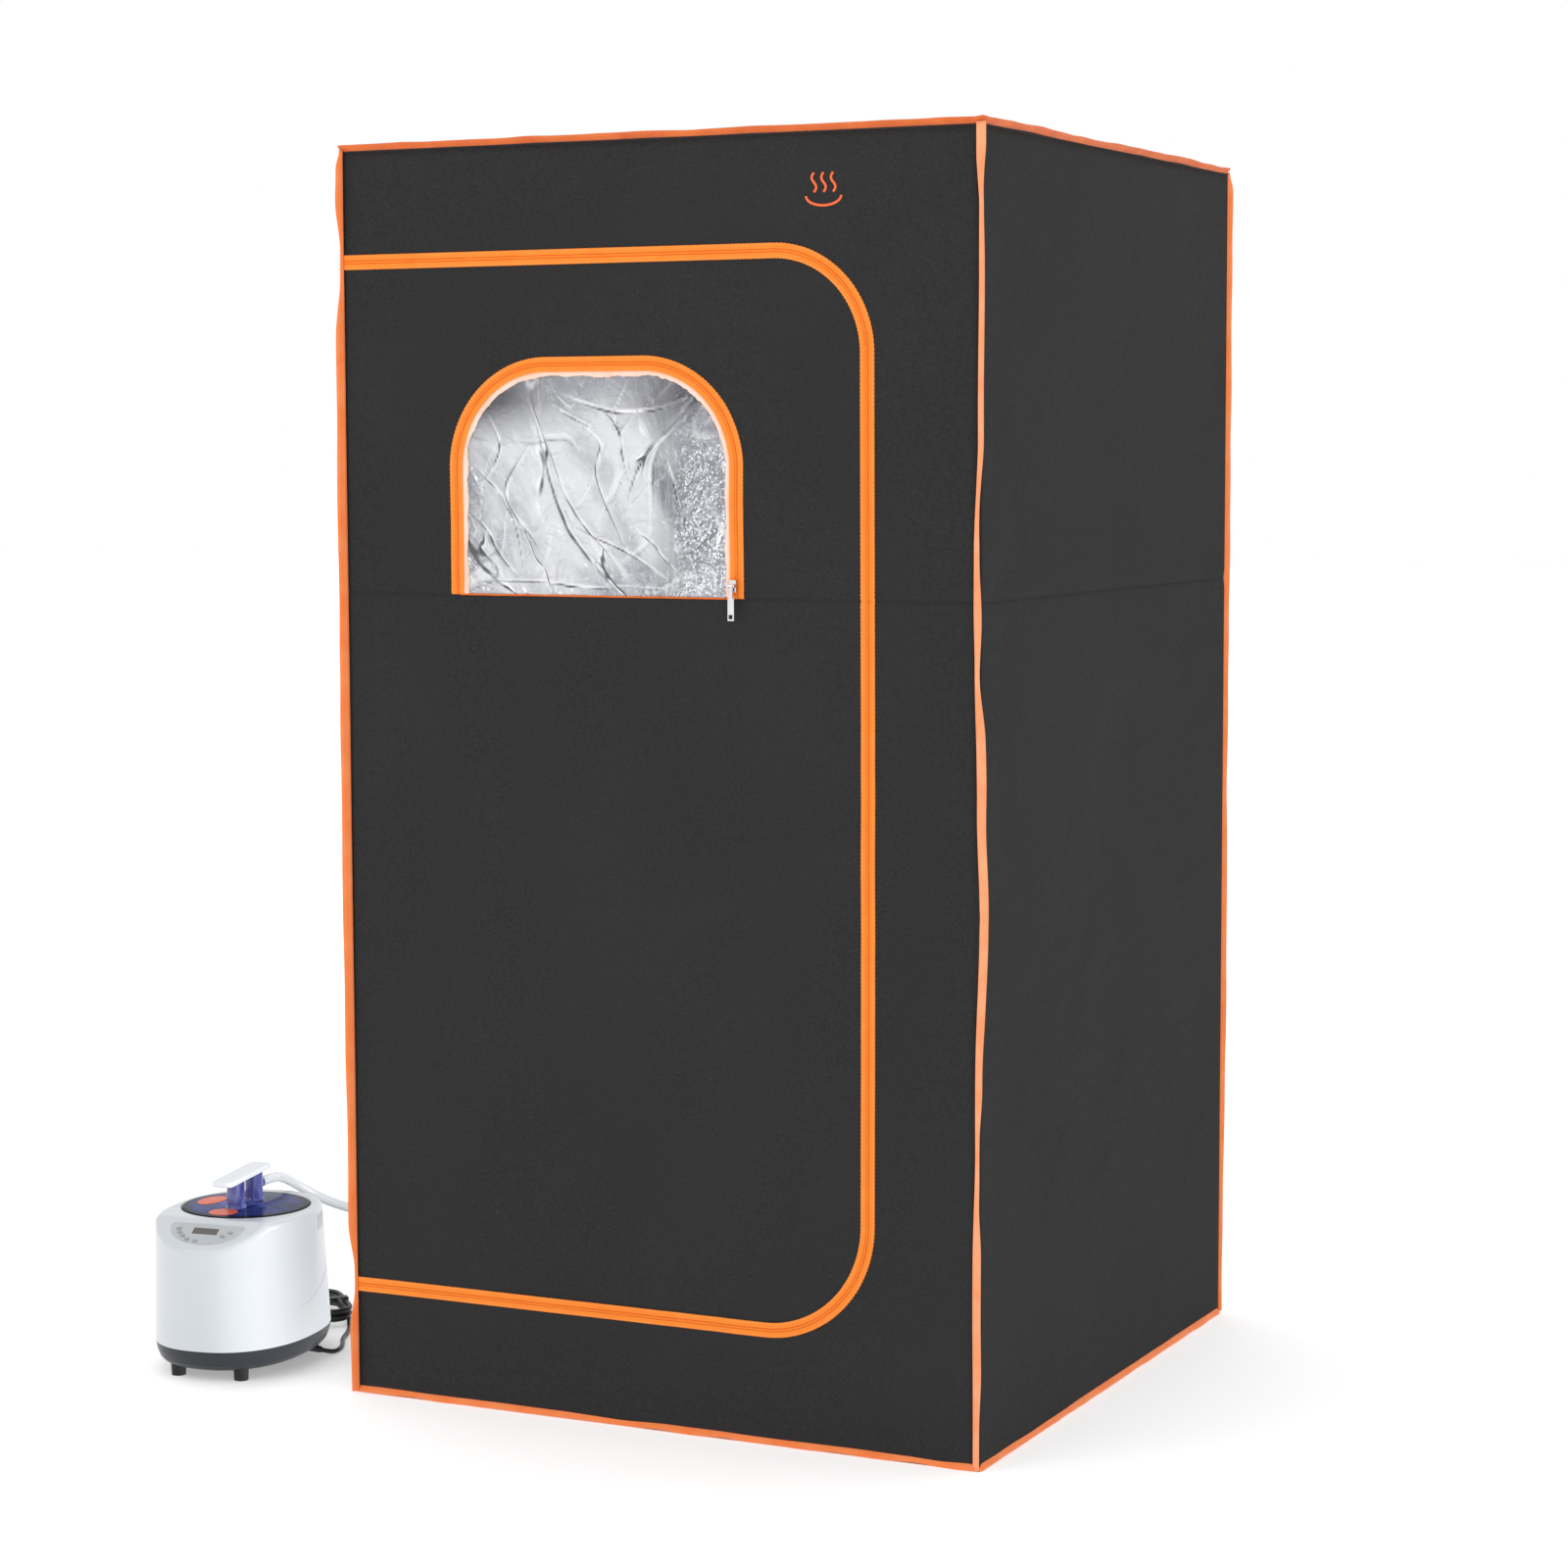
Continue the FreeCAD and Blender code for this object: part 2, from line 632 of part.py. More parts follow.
def herb_box():
    """Round cup with a side spigot, and its drilled cover."""
    end = V(*HOSE_ROUTE[-1])
    aim = V(math.cos(math.radians(HERB_INLET_DEG)), math.sin(math.radians(HERB_INLET_DEG)), 0)
    c = end + aim * (HERB_RADIUS + HERB_SPIGOT)

    def disc(radius, low, tall):
        return Part.makeCylinder(radius, tall, V(c.x, c.y, low))

    cup = disc(HERB_RADIUS, CLOTH, HERB_HEIGHT)
    cup = cup.fuse(Part.makeCylinder(HOSE_RADIUS, HERB_SPIGOT + HERB_SPIGOT_IN, end, aim))
    bore = Part.makeCylinder(HOSE_RADIUS - HERB_SPIGOT_WALL, HERB_SPIGOT + 10, end - aim, aim)
    cup = cup.cut([disc(HERB_RADIUS - HERB_WALL, CLOTH + HERB_FLOOR, HERB_HEIGHT), bore])
    save("herb_box", cup)

    top = CLOTH + HERB_HEIGHT
    plug_radius = HERB_RADIUS - HERB_WALL - COVER_FIT
    plug = disc(plug_radius, top - COVER_PLUG, COVER_PLUG)
    plug = plug.cut(disc(plug_radius - COVER_PLUG_WALL, top - COVER_PLUG, COVER_PLUG))
    knob = Part.makeCone(KNOB_LOW_RADIUS, KNOB_TOP_RADIUS, KNOB_TALL, V(c.x, c.y, top + COVER_THICK))
    cover = disc(HERB_RADIUS + COVER_OVERHANG, top, COVER_THICK).fuse([plug, knob])
    holes = []
    for count, radius in STEAM_RINGS:
        for i in range(count):
            a = 2 * math.pi * i / count
            at = V(c.x + radius * math.cos(a), c.y + radius * math.sin(a), top - 1)
            holes.append(Part.makeCylinder(STEAM_HOLE, COVER_THICK + 2, at))
    save("herb_box_cover", cover.cut(holes))


# ------------------------------------------------------------------ steam generator

def place(shape):
    """Move a shape from the steam generator's axes to the cabin's."""
    moved = shape.copy()
    turn = FreeCAD.Rotation(V(0, 0, 1), STEAMER_TURN)
    moved.Placement = FreeCAD.Placement(V(STEAMER_X, STEAMER_Y, 0), turn).multiply(moved.Placement)
    return moved


def on_facet(shape):
    """Move a shape from the control facet's axes (x, up the slope, outward) to the generator's."""
    moved = shape.copy()
    tilt = FreeCAD.Rotation(V(1, 0, 0), FACET_DEG)
    moved.Placement = FreeCAD.Placement(V(0, FACET_Y, BODY_TOP), tilt).multiply(moved.Placement)
    return moved


def outline(wide, deep, shift, z):
    """Closed super-ellipse."""
    points = []
    for i in range(OUTLINE_POINTS):
        a = 2 * math.pi * (i + 0.5) / OUTLINE_POINTS
        c = math.cos(a)
        s = math.sin(a)
        x = wide / 2 * math.copysign(abs(c) ** (2 / POWER), c)
        y = deep / 2 * math.copysign(abs(s) ** (2 / POWER), s)
        points.append(V(x, y + shift, z))
    curve = Part.BSplineCurve()
    curve.interpolate(Points=points, PeriodicFlag=True)
    return Part.Wire([curve.toShape()])


def body_loft(inset, low, high):
    """The casing's outer form, moved inward by inset, between two heights."""
    wires = []
    for z in (low, (low + high) / 2, high):
        k = (z - BASE_TOP) / (BODY_TOP - BASE_TOP)
        wide = BODY_WIDE + (TOP_WIDE - BODY_WIDE) * k - 2 * inset
        deep = BODY_DEEP + (TOP_DEEP - BODY_DEEP) * k - 2 * inset
        wires.append(outline(wide, deep, TOP_SHIFT * k, z))
    return Part.makeLoft(wires, True, True)


def above_facet(depth):
    """Everything outside the facet plane moved inward by depth."""
    return on_facet(Part.makeBox(400, 400, 200, V(-200, -400, -depth)))


def facet_slot(x, down, long, tall, w0, w1):
    """Rounded oblong prism on the facet, centred at x and down."""
    half = tall / 2
    bar = Part.makeBox(long - tall, tall, w1 - w0, V(x - (long - tall) / 2, -down - half, w0))
    ends = [Part.makeCylinder(half, w1 - w0, V(x + s * (long - tall) / 2, -down, w0)) for s in (-1, 1)]
    return on_facet(bar.fuse(ends).removeSplitter())


def side_x(y, z):
    """How far the casing's outer face is from its middle plane at a height."""
    k = (z - BASE_TOP) / (BODY_TOP - BASE_TOP)
    wide = BODY_WIDE + (TOP_WIDE - BODY_WIDE) * k
    deep = BODY_DEEP + (TOP_DEEP - BODY_DEEP) * k
    share = abs(y - TOP_SHIFT * k) / (deep / 2)
    return wide / 2 * (1 - share ** POWER) ** (1 / POWER)


def side_groove(side):
    """Thin styling groove that climbs towards the back of one side of the casing."""
    curve = Part.BSplineCurve()
    curve.interpolate(Points=[V(side * side_x(y, z), y, z) for y, z in GROOVE])
    first = curve.FirstParameter
    section = Part.Wire([Part.makeCircle(GROOVE_RADIUS, curve.value(first), curve.tangent(first)[0])])
    return Part.Wire([curve.toShape()]).makePipeShell([section], True, False)


def casing(key_slots):
    """White outer casing, with the lid's well, the control facet, side grooves and short vents."""
    outer = body_loft(0, BASE_TOP, BODY_TOP).cut(above_facet(0))
    rim = [e for e in outer.Edges if e.BoundBox.ZMin > BODY_TOP - FACET_DROP - 6]
    outer = outer.makeFillet(EDGE_ROUND, rim)
    inner = body_loft(WALL, BASE_TOP - 1, BODY_TOP - WALL).cut(above_facet(WALL + FACET_BITE))
    skirt = ring(0, POT_Y, POT_RIM, BODY_TOP - WALL, WELL_RADIUS + 2, WELL_RADIUS)
    shell = outer.cut(inner).fuse(skirt)
    well = Part.makeCylinder(WELL_RADIUS, 40, V(0, POT_Y, POT_RIM))
    lcd = Part.makeBox(DISPLAY_WIDE - 2 * DISPLAY_LIP, DISPLAY_TALL - 2 * DISPLAY_EDGE, 20,
                       V(DISPLAY_LIP - DISPLAY_WIDE / 2,
                         -DISPLAY_DOWN - DISPLAY_TALL / 2 + DISPLAY_EDGE, -10))
    vents = [rounded_slab(VENT_REACH[0], VENT_REACH[1], y - VENT_HALF, y + VENT_HALF, VENT_LOW,
                          VENT_TOP, VENT_ROUND) for y in VENT_Y]
    vents = [v.cut(body_loft(VENT_DEPTH, BASE_TOP, BODY_TOP)) for v in vents]
    return shell.cut([well, on_facet(lcd)] + key_slots + vents + [side_groove(-1), side_groove(1)])


def base_and_feet(screws):
    """Dark base tray with four posts, and its four feet."""
    def form(levels):
        wires = [outline(BODY_WIDE - 2 * inset, BODY_DEEP - 2 * inset, 0, z) for z, inset in levels]
        return Part.makeLoft(wires, True, True)

    outer = form(BASE_LEVELS)
    posts = [Part.makeCylinder(POST_RADIUS, POT_LOW - POST_LOW,
                               V(sx * POST_PLACE, POT_Y + sy * POST_PLACE, POST_LOW))
             for sx in (-1, 1) for sy in (-1, 1)]
    base = outer.cut(form(TRAY_LEVELS)).fuse(posts).cut(screws)
    feet = [Part.makeCone(FOOT_RADIUS - FOOT_TAPER, FOOT_RADIUS, FOOT_TALL,
                          V(sx * FOOT_X, sy * FOOT_Y, 0)).cut(outer)
            for sx in (-1, 1) for sy in (-1, 1)]
    feet = [max(f.Solids, key=lambda s: -s.BoundBox.ZMin) for f in feet]
    return base, Part.makeCompound(feet)


def base_screws():
    """Four screws up through the base into its posts."""
    screws = []
    for sx in (-1, 1):
        for sy in (-1, 1):
            x = sx * POST_PLACE
            y = POT_Y + sy * POST_PLACE
            shank = Part.makeCylinder(SCREW_RADIUS, SCREW_LONG, V(x, y, BASE_LOW - 1))
            head = Part.makeCylinder(SCREW_HEAD, SCREW_HEAD_TALL, V(x, y, BASE_LOW - SCREW_HEAD_TALL))
            screws.append(head.fuse(shank))
    return Part.makeCompound(screws)


def strain_relief():
    """Tapered sleeve that carries the lead through the base's lower edge."""
    end = V(*LEAD_ROUTE[0])
    aim = (V(*LEAD_ROUTE[1]) - end).normalize()
    return Part.makeCone(RELIEF_WIDE, RELIEF_NARROW, RELIEF_LONG, end - aim * RELIEF_LONG, aim)


def steam_generator():
    key_slots = [facet_slot(x, d, KEY_LONG + 2 * KEY_CLEAR, KEY_SHORT + 2 * KEY_CLEAR, SLOT_LOW, SLOT_TOP)
                 for x, d in KEYS.values()]
    save("steamer_casing", place(casing(key_slots)))
    screws = base_screws()
    base, feet = base_and_feet(screws.Solids)
    relief = strain_relief()
    save("base_screws", place(screws))
    save("steamer_base", place(base.cut(relief)))
    save("steamer_feet", place(feet))
    save("cord_strain_relief", place(relief))

    # pot and heater
    tall = POT_RIM - POT_LOW
    pot = Part.makeCylinder(POT_RADIUS, tall, V(0, POT_Y, POT_LOW))
    pot = pot.fuse(Part.makeCylinder(POT_FLANGE_RADIUS, 2, V(0, POT_Y, POT_RIM - 2)))
    pot = pot.cut(Part.makeCylinder(POT_RADIUS - POT_WALL, tall, V(0, POT_Y, POT_LOW + POT_WALL)))
    save("water_pot", place(pot))
    plate_low = POT_LOW - HEATER_THICK
    plate = Part.makeCylinder(HEATER_RADIUS, HEATER_THICK, V(0, POT_Y, plate_low))
    coil = Part.makeTorus(COIL_RADIUS, COIL_THICK, V(0, POT_Y, plate_low - 1))
    pin_tall = plate_low - 2 - HEATER_PIN_LOW
    pins = [Part.makeCylinder(HEATER_PIN_RADIUS, pin_tall, V(x, POT_Y - COIL_RADIUS, HEATER_PIN_LOW))
            for x in (-HEATER_PIN_X, HEATER_PIN_X)]
    save("heater_plate", place(plate.fuse([coil] + pins)))
    save("thermostat", place(Part.makeCylinder(THERMOSTAT_RADIUS, THERMOSTAT_TALL,
                                               V(0, POT_Y, plate_low - THERMOSTAT_TALL))))

    # circuit boards
    board = box(-BOARD_HALF, BOARD_HALF, BOARD_Y - BOARD_THICK, BOARD_Y, BOARD_LOW, BOARD_HIGH)
    pieces = [box(x0, x1, BOARD_Y, BOARD_Y + deep, z0, z1)
              for x0, x1, z0, z1, deep in (TRANSFORMER, RELAY, TERMINALS)]
    pieces += [rod((x, BOARD_Y, z), (x, BOARD_Y + deep, z), radius) for x, z, radius, deep in CAPACITORS]
    save("main_board", place(board.fuse(pieces)))
    control = Part.makeBox(2 * BOARD_HALF, CONTROL_DEEP, BOARD_THICK,
                           V(-BOARD_HALF, -PANEL_TOP - CONTROL_DEEP, BOARD_TOP - BOARD_THICK))
    switches = [Part.makeBox(SWITCH_LONG, SWITCH_WIDE, SWITCH_TALL,
                             V(x - SWITCH_LONG / 2, -d - SWITCH_WIDE / 2, BOARD_TOP))
                for x, d in KEYS.values()]
    inset = DISPLAY_LIP + DISPLAY_CLEAR
    edge = DISPLAY_EDGE + DISPLAY_CLEAR
    lcd = Part.makeBox(DISPLAY_WIDE - 2 * inset, DISPLAY_TALL - 2 * edge, DISPLAY_GAP - BOARD_TOP,
                       V(inset - DISPLAY_WIDE / 2, -DISPLAY_DOWN - DISPLAY_TALL / 2 + edge, BOARD_TOP))
    save("control_board", place(on_facet(control.fuse(switches + [lcd]))))

    # control panel, display window and keys
    def at(x, down):
        return V(x, -down, 0)

    flat = PANEL_HALF - PANEL_CORNER
    rise = PANEL_CORNER * math.sqrt(0.5)
    inner_x = flat + rise
    inner_d = PANEL_SIDE - rise
    ellipse = Part.Ellipse(at(0, PANEL_SIDE), PANEL_HALF, PANEL_DROP)
    half_loop = Part.ArcOfEllipse(ellipse, math.pi, 2 * math.pi).toShape()
    edges = [half_loop,
             Part.Arc(at(PANEL_HALF, PANEL_SIDE), at(inner_x, inner_d), at(flat, PANEL_TOP)).toShape(),
             Part.makeLine(at(flat, PANEL_TOP), at(-flat, PANEL_TOP)),
             Part.Arc(at(-flat, PANEL_TOP), at(-inner_x, inner_d), at(-PANEL_HALF, PANEL_SIDE)).toShape()]
    panel = Part.Face(Part.Wire(Part.__sortEdges__(edges))).extrude(V(0, 0, PANEL_THICK))
    pane = Part.makeBox(DISPLAY_WIDE, DISPLAY_TALL, PANEL_THICK,
                        V(-DISPLAY_WIDE / 2, -DISPLAY_DOWN - DISPLAY_TALL / 2, 0))
    save("control_panel", place(on_facet(panel.cut(pane)).cut(key_slots)))
    save("display_window", place(on_facet(pane)))
    for name, (x, down) in KEYS.items():
        top = PANEL_THICK + KEY_PROUD
        save(name, place(facet_slot(x, down, KEY_LONG, KEY_SHORT, KEY_LOW, top)))


def lid():
    """Clear lid with two columns, a handle across them, a seal and a relief valve."""
    profile = [(0, 0, LID_CROWN - LID_SKIN), (LID_DISH_RADIUS, 0, LID_LOW + LID_DISH),
               (LID_DISH_RADIUS + LID_CHAMFER, 0, LID_LOW), (LID_RADIUS, 0, LID_LOW),
               (LID_RADIUS, 0, LID_TOP - LID_RIM), (LID_RADIUS - LID_CHAMFER, 0, LID_TOP), (0, 0, LID_CROWN)]
    face = Part.Face(Part.makePolygon([V(*p) for p in profile] + [V(*profile[0])]))
    disc = face.revolve(V(0, 0, 0), V(0, 0, 1), 360)
    disc.translate(V(0, POT_Y, 0))

    def upright(radius, y, low, tall):
        return Part.makeCylinder(radius, tall, V(0, y, low))

    disc = disc.cut([upright(STEAM_BORE, OUTLET_Y, POT_RIM, 40), upright(VALVE_BORE, VALVE_Y, POT_RIM, 40)])
    save("lid_disc", place(disc))
    save("lid_seal", place(ring(0, POT_Y, POT_RIM, LID_LOW, SEAL_OUTER, SEAL_INNER)))

    handle = rounded_slab(-HANDLE_WIDE / 2, HANDLE_WIDE / 2, -HANDLE_LONG / 2, HANDLE_LONG / 2,
                          -HANDLE_THICK, 0, HANDLE_ROUND)
    handle = handle.makeFillet(HANDLE_SOFT, [e for e in handle.Edges if e.BoundBox.ZLength < 0.1])
    seat = FreeCAD.Placement(V(0, HANDLE_Y, HANDLE_Z), FreeCAD.Rotation(V(1, 0, 0), HANDLE_TILT))
    handle.Placement = seat
    save("lid_handle", place(handle))
    above = Part.makeBox(200, 200, 100, V(-100, -100, -HANDLE_THICK))
    above.Placement = seat.multiply(above.Placement)

    def column(y):
        wide = COLUMN_RADIUS + COLUMN_FLARE
        flare = Part.makeCone(wide, COLUMN_RADIUS, COLUMN_FLARE_TALL, V(0, y, LID_TOP))
        return upright(COLUMN_RADIUS, y, LID_TOP - 1, 50).fuse(flare)

    nozzle = [rod((0, OUTLET_Y, OUTLET_Z), (0, OUTLET_END + extra, OUTLET_Z), radius)
              for radius, extra in ((NOZZLE_RADIUS, 0), (NOZZLE_BORE, 1))]
    outlet = column(OUTLET_Y).fuse(nozzle[0])
    outlet = outlet.cut([upright(COLUMN_BORE, OUTLET_Y, POT_RIM, 60), nozzle[1], disc, above])
    save("steam_outlet_column", place(outlet))
    guide = column(VALVE_Y).cut([upright(COLUMN_BORE, VALVE_Y, POT_RIM, 60), disc, above])
    save("valve_column", place(guide))
    crown_low = LID_CROWN + VALVE_GAP
    crown = upright(COLUMN_BORE - VALVE_CLEAR, VALVE_Y, crown_low, VALVE_TALL)
    stem = upright(VALVE_STEM_RADIUS, VALVE_Y, crown_low + VALVE_TALL, VALVE_STEM)
    skirt = upright(VALVE_SKIRT_RADIUS, VALVE_Y, LID_CROWN - VALVE_SKIRT, VALVE_SKIRT_TALL)
    save("relief_valve", place(crown.fuse([stem, skirt]).cut(disc)))


def mains_lead():
    """Free lead, hank with its tie, tail and plug."""
    run = HANK_LONG / 2 - HANK_WIDE / 2
    spin = FreeCAD.Rotation(V(0, 0, 1), HANK_DEG)
    seat = FreeCAD.Placement(V(HANK_X, HANK_Y, 0), spin)

    def oblong(grow, low, high, length):
        half = HANK_WIDE / 2 + grow
        bar = Part.makeBox(2 * length, 2 * half, high - low, V(-length, -half, low))
        caps = [Part.makeCylinder(half, high - low, V(s * length, 0, low)) for s in (-1, 1)]
        solid = bar.fuse(caps).removeSplitter()
        solid.Placement = seat
        return solid

    hank = oblong(0, HANK_LOW, HANK_LOW + HANK_TALL, run)
    band = Part.makeBox(TIE_WIDE, HANK_WIDE + 2 * TIE_THICK, HANK_TALL + 2 * TIE_THICK,
                        V(-TIE_WIDE / 2, -HANK_WIDE / 2 - TIE_THICK, HANK_LOW - TIE_THICK))
    band.Placement = seat
    band = band.cut(hank)
    save("power_cord_hank", place(hank))
    save("cord_tie", place(band))
    lead = tube("power_cord_lead", LEAD_ROUTE, LEAD_RADIUS).cut([hank, band])
    save("power_cord_lead", place(lead.Solids[0]))
    tail = tube("power_cord_tail", TAIL_ROUTE, LEAD_RADIUS).cut([hank, band])
    save("power_cord_tail", place(tail.Solids[0]))

    back = V(*TAIL_ROUTE[-1])
    before = V(*TAIL_ROUTE[-2])
    aim = back - before
    level = math.degrees(math.atan2(aim.y, aim.x))
    plug = rounded_slab(0, PLUG_LONG, -PLUG_WIDE / 2, PLUG_WIDE / 2, -PLUG_TALL / 2, PLUG_TALL / 2,
                        PLUG_ROUND)
    blades = [box(PLUG_LONG, PLUG_LONG + BLADE_LONG, s * BLADE_PITCH / 2 - BLADE_THICK / 2,
                  s * BLADE_PITCH / 2 + BLADE_THICK / 2, -BLADE_WIDE / 2, BLADE_WIDE / 2)
              for s in (-1, 1)]
    group = Part.makeCompound([plug] + blades)
    group.Placement = FreeCAD.Placement(V(back.x, back.y, PLUG_TALL / 2), FreeCAD.Rotation(V(0, 0, 1), level))
    save("power_plug", place(group))


# ------------------------------------------------------------------ build

cabin_cloth()
zip_tapes()
frame()
slider, pull, pin_y = zip_slider(WINDOW_RIGHT, WINDOW_SLIDER_Z, -HALF - TAPE_THICK, -1)
print("window pull pin at y %.2f z %.2f" % (pin_y, WINDOW_SLIDER_Z + PIN_UP))
save("window_zip_slider", slider)
save("window_zip_pull", pull)
slider, pull, pin_y = zip_slider(DOOR_SLIDER_X, DOOR_LOW, -INNER, 1)
print("door pull pin at y %.2f z %.2f" % (pin_y, DOOR_LOW + PIN_UP))
save("door_zip_slider", slider)
save("door_zip_pull", pull)
save("steam_port", steam_port())
save("steam_hose", tube("steam_hose", HOSE_ROUTE, HOSE_RADIUS))
herb_box()
steam_generator()
lid()
mains_lead()
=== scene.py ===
import math

import bpy
import numpy as np
from mathutils import Matrix, Vector, geometry, noise


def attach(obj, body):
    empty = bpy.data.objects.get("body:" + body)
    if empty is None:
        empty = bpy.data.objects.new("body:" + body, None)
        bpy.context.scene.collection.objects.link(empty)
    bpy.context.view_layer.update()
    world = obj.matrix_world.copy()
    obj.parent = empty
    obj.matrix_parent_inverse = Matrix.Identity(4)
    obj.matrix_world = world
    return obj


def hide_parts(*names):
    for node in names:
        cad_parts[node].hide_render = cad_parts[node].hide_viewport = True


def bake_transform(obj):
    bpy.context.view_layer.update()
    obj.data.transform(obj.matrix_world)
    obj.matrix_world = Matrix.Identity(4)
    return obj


# Portable steam sauna: the looks of a fabric cabin on a tube frame and of the steam generator beside it.
# Metres, +Z up, in the frame of the CAD model. The cabin door faces -Y.

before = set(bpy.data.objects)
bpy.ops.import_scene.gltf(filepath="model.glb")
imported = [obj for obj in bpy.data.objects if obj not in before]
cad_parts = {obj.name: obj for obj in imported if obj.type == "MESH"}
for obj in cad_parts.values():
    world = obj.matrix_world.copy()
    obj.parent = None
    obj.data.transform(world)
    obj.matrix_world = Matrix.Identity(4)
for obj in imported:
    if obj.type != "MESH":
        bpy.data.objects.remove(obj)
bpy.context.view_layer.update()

# ---- cabin, as in the CAD model ----
HALF = 0.42
INNER = 0.416
HEIGHT = 1.53
CLOTH = 0.004
SEAM_Z = 0.996
DOOR_TOP = 1.395
DOOR_RIGHT = 0.2794
DOOR_LOW = 0.137
DOOR_TOP_RADIUS = 0.118
DOOR_LOW_RADIUS = 0.135
WINDOW_LEFT = -0.260
WINDOW_RIGHT = 0.110
WINDOW_TOP = 1.267
WINDOW_LOW = 0.996
WINDOW_RADIUS = 0.120

# ---- steam generator's own axes: -Y is its front ----
STEAMER = Matrix.Translation((-0.6385, -0.3453, 0)) @ Matrix.Rotation(math.radians(7.2), 4, "Z")
LID_MIDDLE = 0.010         # along its Y
LID_EDGE_Z = 0.2010
LID_RADIUS = 0.082
LID_CROWN = 0.0025         # how much higher the lid's middle is than its edge

# ---- camera, fitted to the photograph's viewing angle ----
AZIMUTH = math.radians(25.73)
PITCH = math.radians(5.32)
ROLL = math.radians(-0.16)
DISTANCE = 4.621
AIM_RIGHT = -0.026
AIM_Z = 0.741
SENSOR = 36.0
FOCAL = 82.69


def add(name, data):
    """A new object in the scene."""
    made = bpy.data.objects.new(name, data)
    bpy.context.scene.collection.objects.link(made)
    return made


# =====================================================================  camera

back = Vector((math.sin(AZIMUTH) * math.cos(PITCH), -math.cos(AZIMUTH) * math.cos(PITCH), math.sin(PITCH)))
right = Vector((math.cos(AZIMUTH), math.sin(AZIMUTH), 0))
up = back.cross(right)
rolled = right * math.cos(ROLL) + up * math.sin(ROLL)
upright = up * math.cos(ROLL) - right * math.sin(ROLL)
place = right * AIM_RIGHT + Vector((0, 0, AIM_Z)) + back * DISTANCE

camera_data = bpy.data.cameras.new("camera")
camera_data.lens = FOCAL
camera_data.sensor_width = SENSOR
camera = add("camera", camera_data)
camera.matrix_world = Matrix((
    (rolled.x, upright.x, back.x, place.x),
    (rolled.y, upright.y, back.y, place.y),
    (rolled.z, upright.z, back.z, place.z),
    (0, 0, 0, 1)))
bpy.context.scene.camera = camera


# =====================================================================  materials

def connect(tree, socket, value):
    """Link a socket to another node's output, or set its value."""
    if isinstance(value, bpy.types.NodeSocket):
        tree.links.new(value, socket)
    elif value is not None:
        socket.default_value = value


def node(tree, kind, inputs=None, **settings):
    """One shader node, with its inputs linked or set."""
    made = tree.nodes.new(kind)
    for key, value in settings.items():
        setattr(made, key, value)
    for key, value in (inputs or {}).items():
        connect(tree, made.inputs[key], value)
    return made


class Finish:
    """A procedural material: one Principled shader that reads object space, in metres."""

    def __init__(self, name, **inputs):
        self.material = bpy.data.materials.new(name)
        self.material.use_nodes = True
        self.tree = self.material.node_tree
        self.tree.nodes.clear()
        self.place = node(self.tree, "ShaderNodeTexCoord").outputs["Object"]
        self.shader = node(self.tree, "ShaderNodeBsdfPrincipled", {
            key.replace("_", " "): value for key, value in inputs.items()})
        self.output = node(self.tree, "ShaderNodeOutputMaterial",
                           {"Surface": self.shader.outputs["BSDF"]})
        self.normal = None

    def set(self, key, value):
        connect(self.tree, self.shader.inputs[key], value)
        return self

    def noise(self, scale, detail=3, stretch=(1, 1, 1), turn=(0, 0, 0), twist=0.0):
        """Noise of a given number of blobs per metre."""
        mapped = node(self.tree, "ShaderNodeMapping", {
            "Vector": self.place, "Scale": stretch, "Rotation": turn})
        return node(self.tree, "ShaderNodeTexNoise", {
            "Vector": mapped.outputs["Vector"], "Scale": scale, "Detail": detail,
            "Distortion": twist}).outputs["Fac"]

    def cells(self, scale):
        """Distance to the nearest of a given number of points per metre."""
        return node(self.tree, "ShaderNodeTexVoronoi", {
            "Vector": self.place, "Scale": scale}).outputs["Distance"]

    def limits(self, socket, low, high, to_low=0.0, to_high=1.0):
        """Stretch the part of a socket's range from low to high over another range."""
        return node(self.tree, "ShaderNodeMapRange", {
            "Value": socket, "From Min": low, "From Max": high,
            "To Min": to_low, "To Max": to_high}).outputs["Result"]

    def maths(self, operation, a, b):
        made = node(self.tree, "ShaderNodeMath", operation=operation)
        connect(self.tree, made.inputs[0], a)
        connect(self.tree, made.inputs[1], b)
        return made.outputs["Value"]

    def mix(self, factor, a, b):
        """Blend of two colours."""
        made = node(self.tree, "ShaderNodeMix", data_type="RGBA")
        connect(self.tree, made.inputs[0], factor)
        connect(self.tree, made.inputs[6], a)
        connect(self.tree, made.inputs[7], b)
        return made.outputs[2]

    def bump(self, height, depth):
        """Add relief of a given depth in metres on top of what is there."""
        made = node(self.tree, "ShaderNodeBump", {
            "Height": height, "Distance": depth, "Strength": 1.0, "Normal": self.normal})
        self.normal = made.outputs["Normal"]
        return self.set("Normal", self.normal)


def rgba(red, green, blue):
    return (red, green, blue, 1.0)


def moulded(name, colour, shade, rough=0.3, grain=900, depth=0.00002, metal=0.0, wear=0.2, **inputs):
    """Moulded, drawn or coated stock: slow colour drift, fine grain, and gloss that varies by wear."""
    made = Finish(name, Metallic=metal, **inputs)
    drift = made.limits(made.noise(14, 4, twist=0.6), 0.3, 0.7)
    gloss = made.limits(made.noise(60, 5), 0.25, 0.75, rough * (1 - wear), rough * (1 + wear))
    made.set("Base Color", made.mix(drift, rgba(*colour), rgba(*shade)))
    made.set("Roughness", gloss)
    return made.bump(made.noise(grain, 2), depth).material


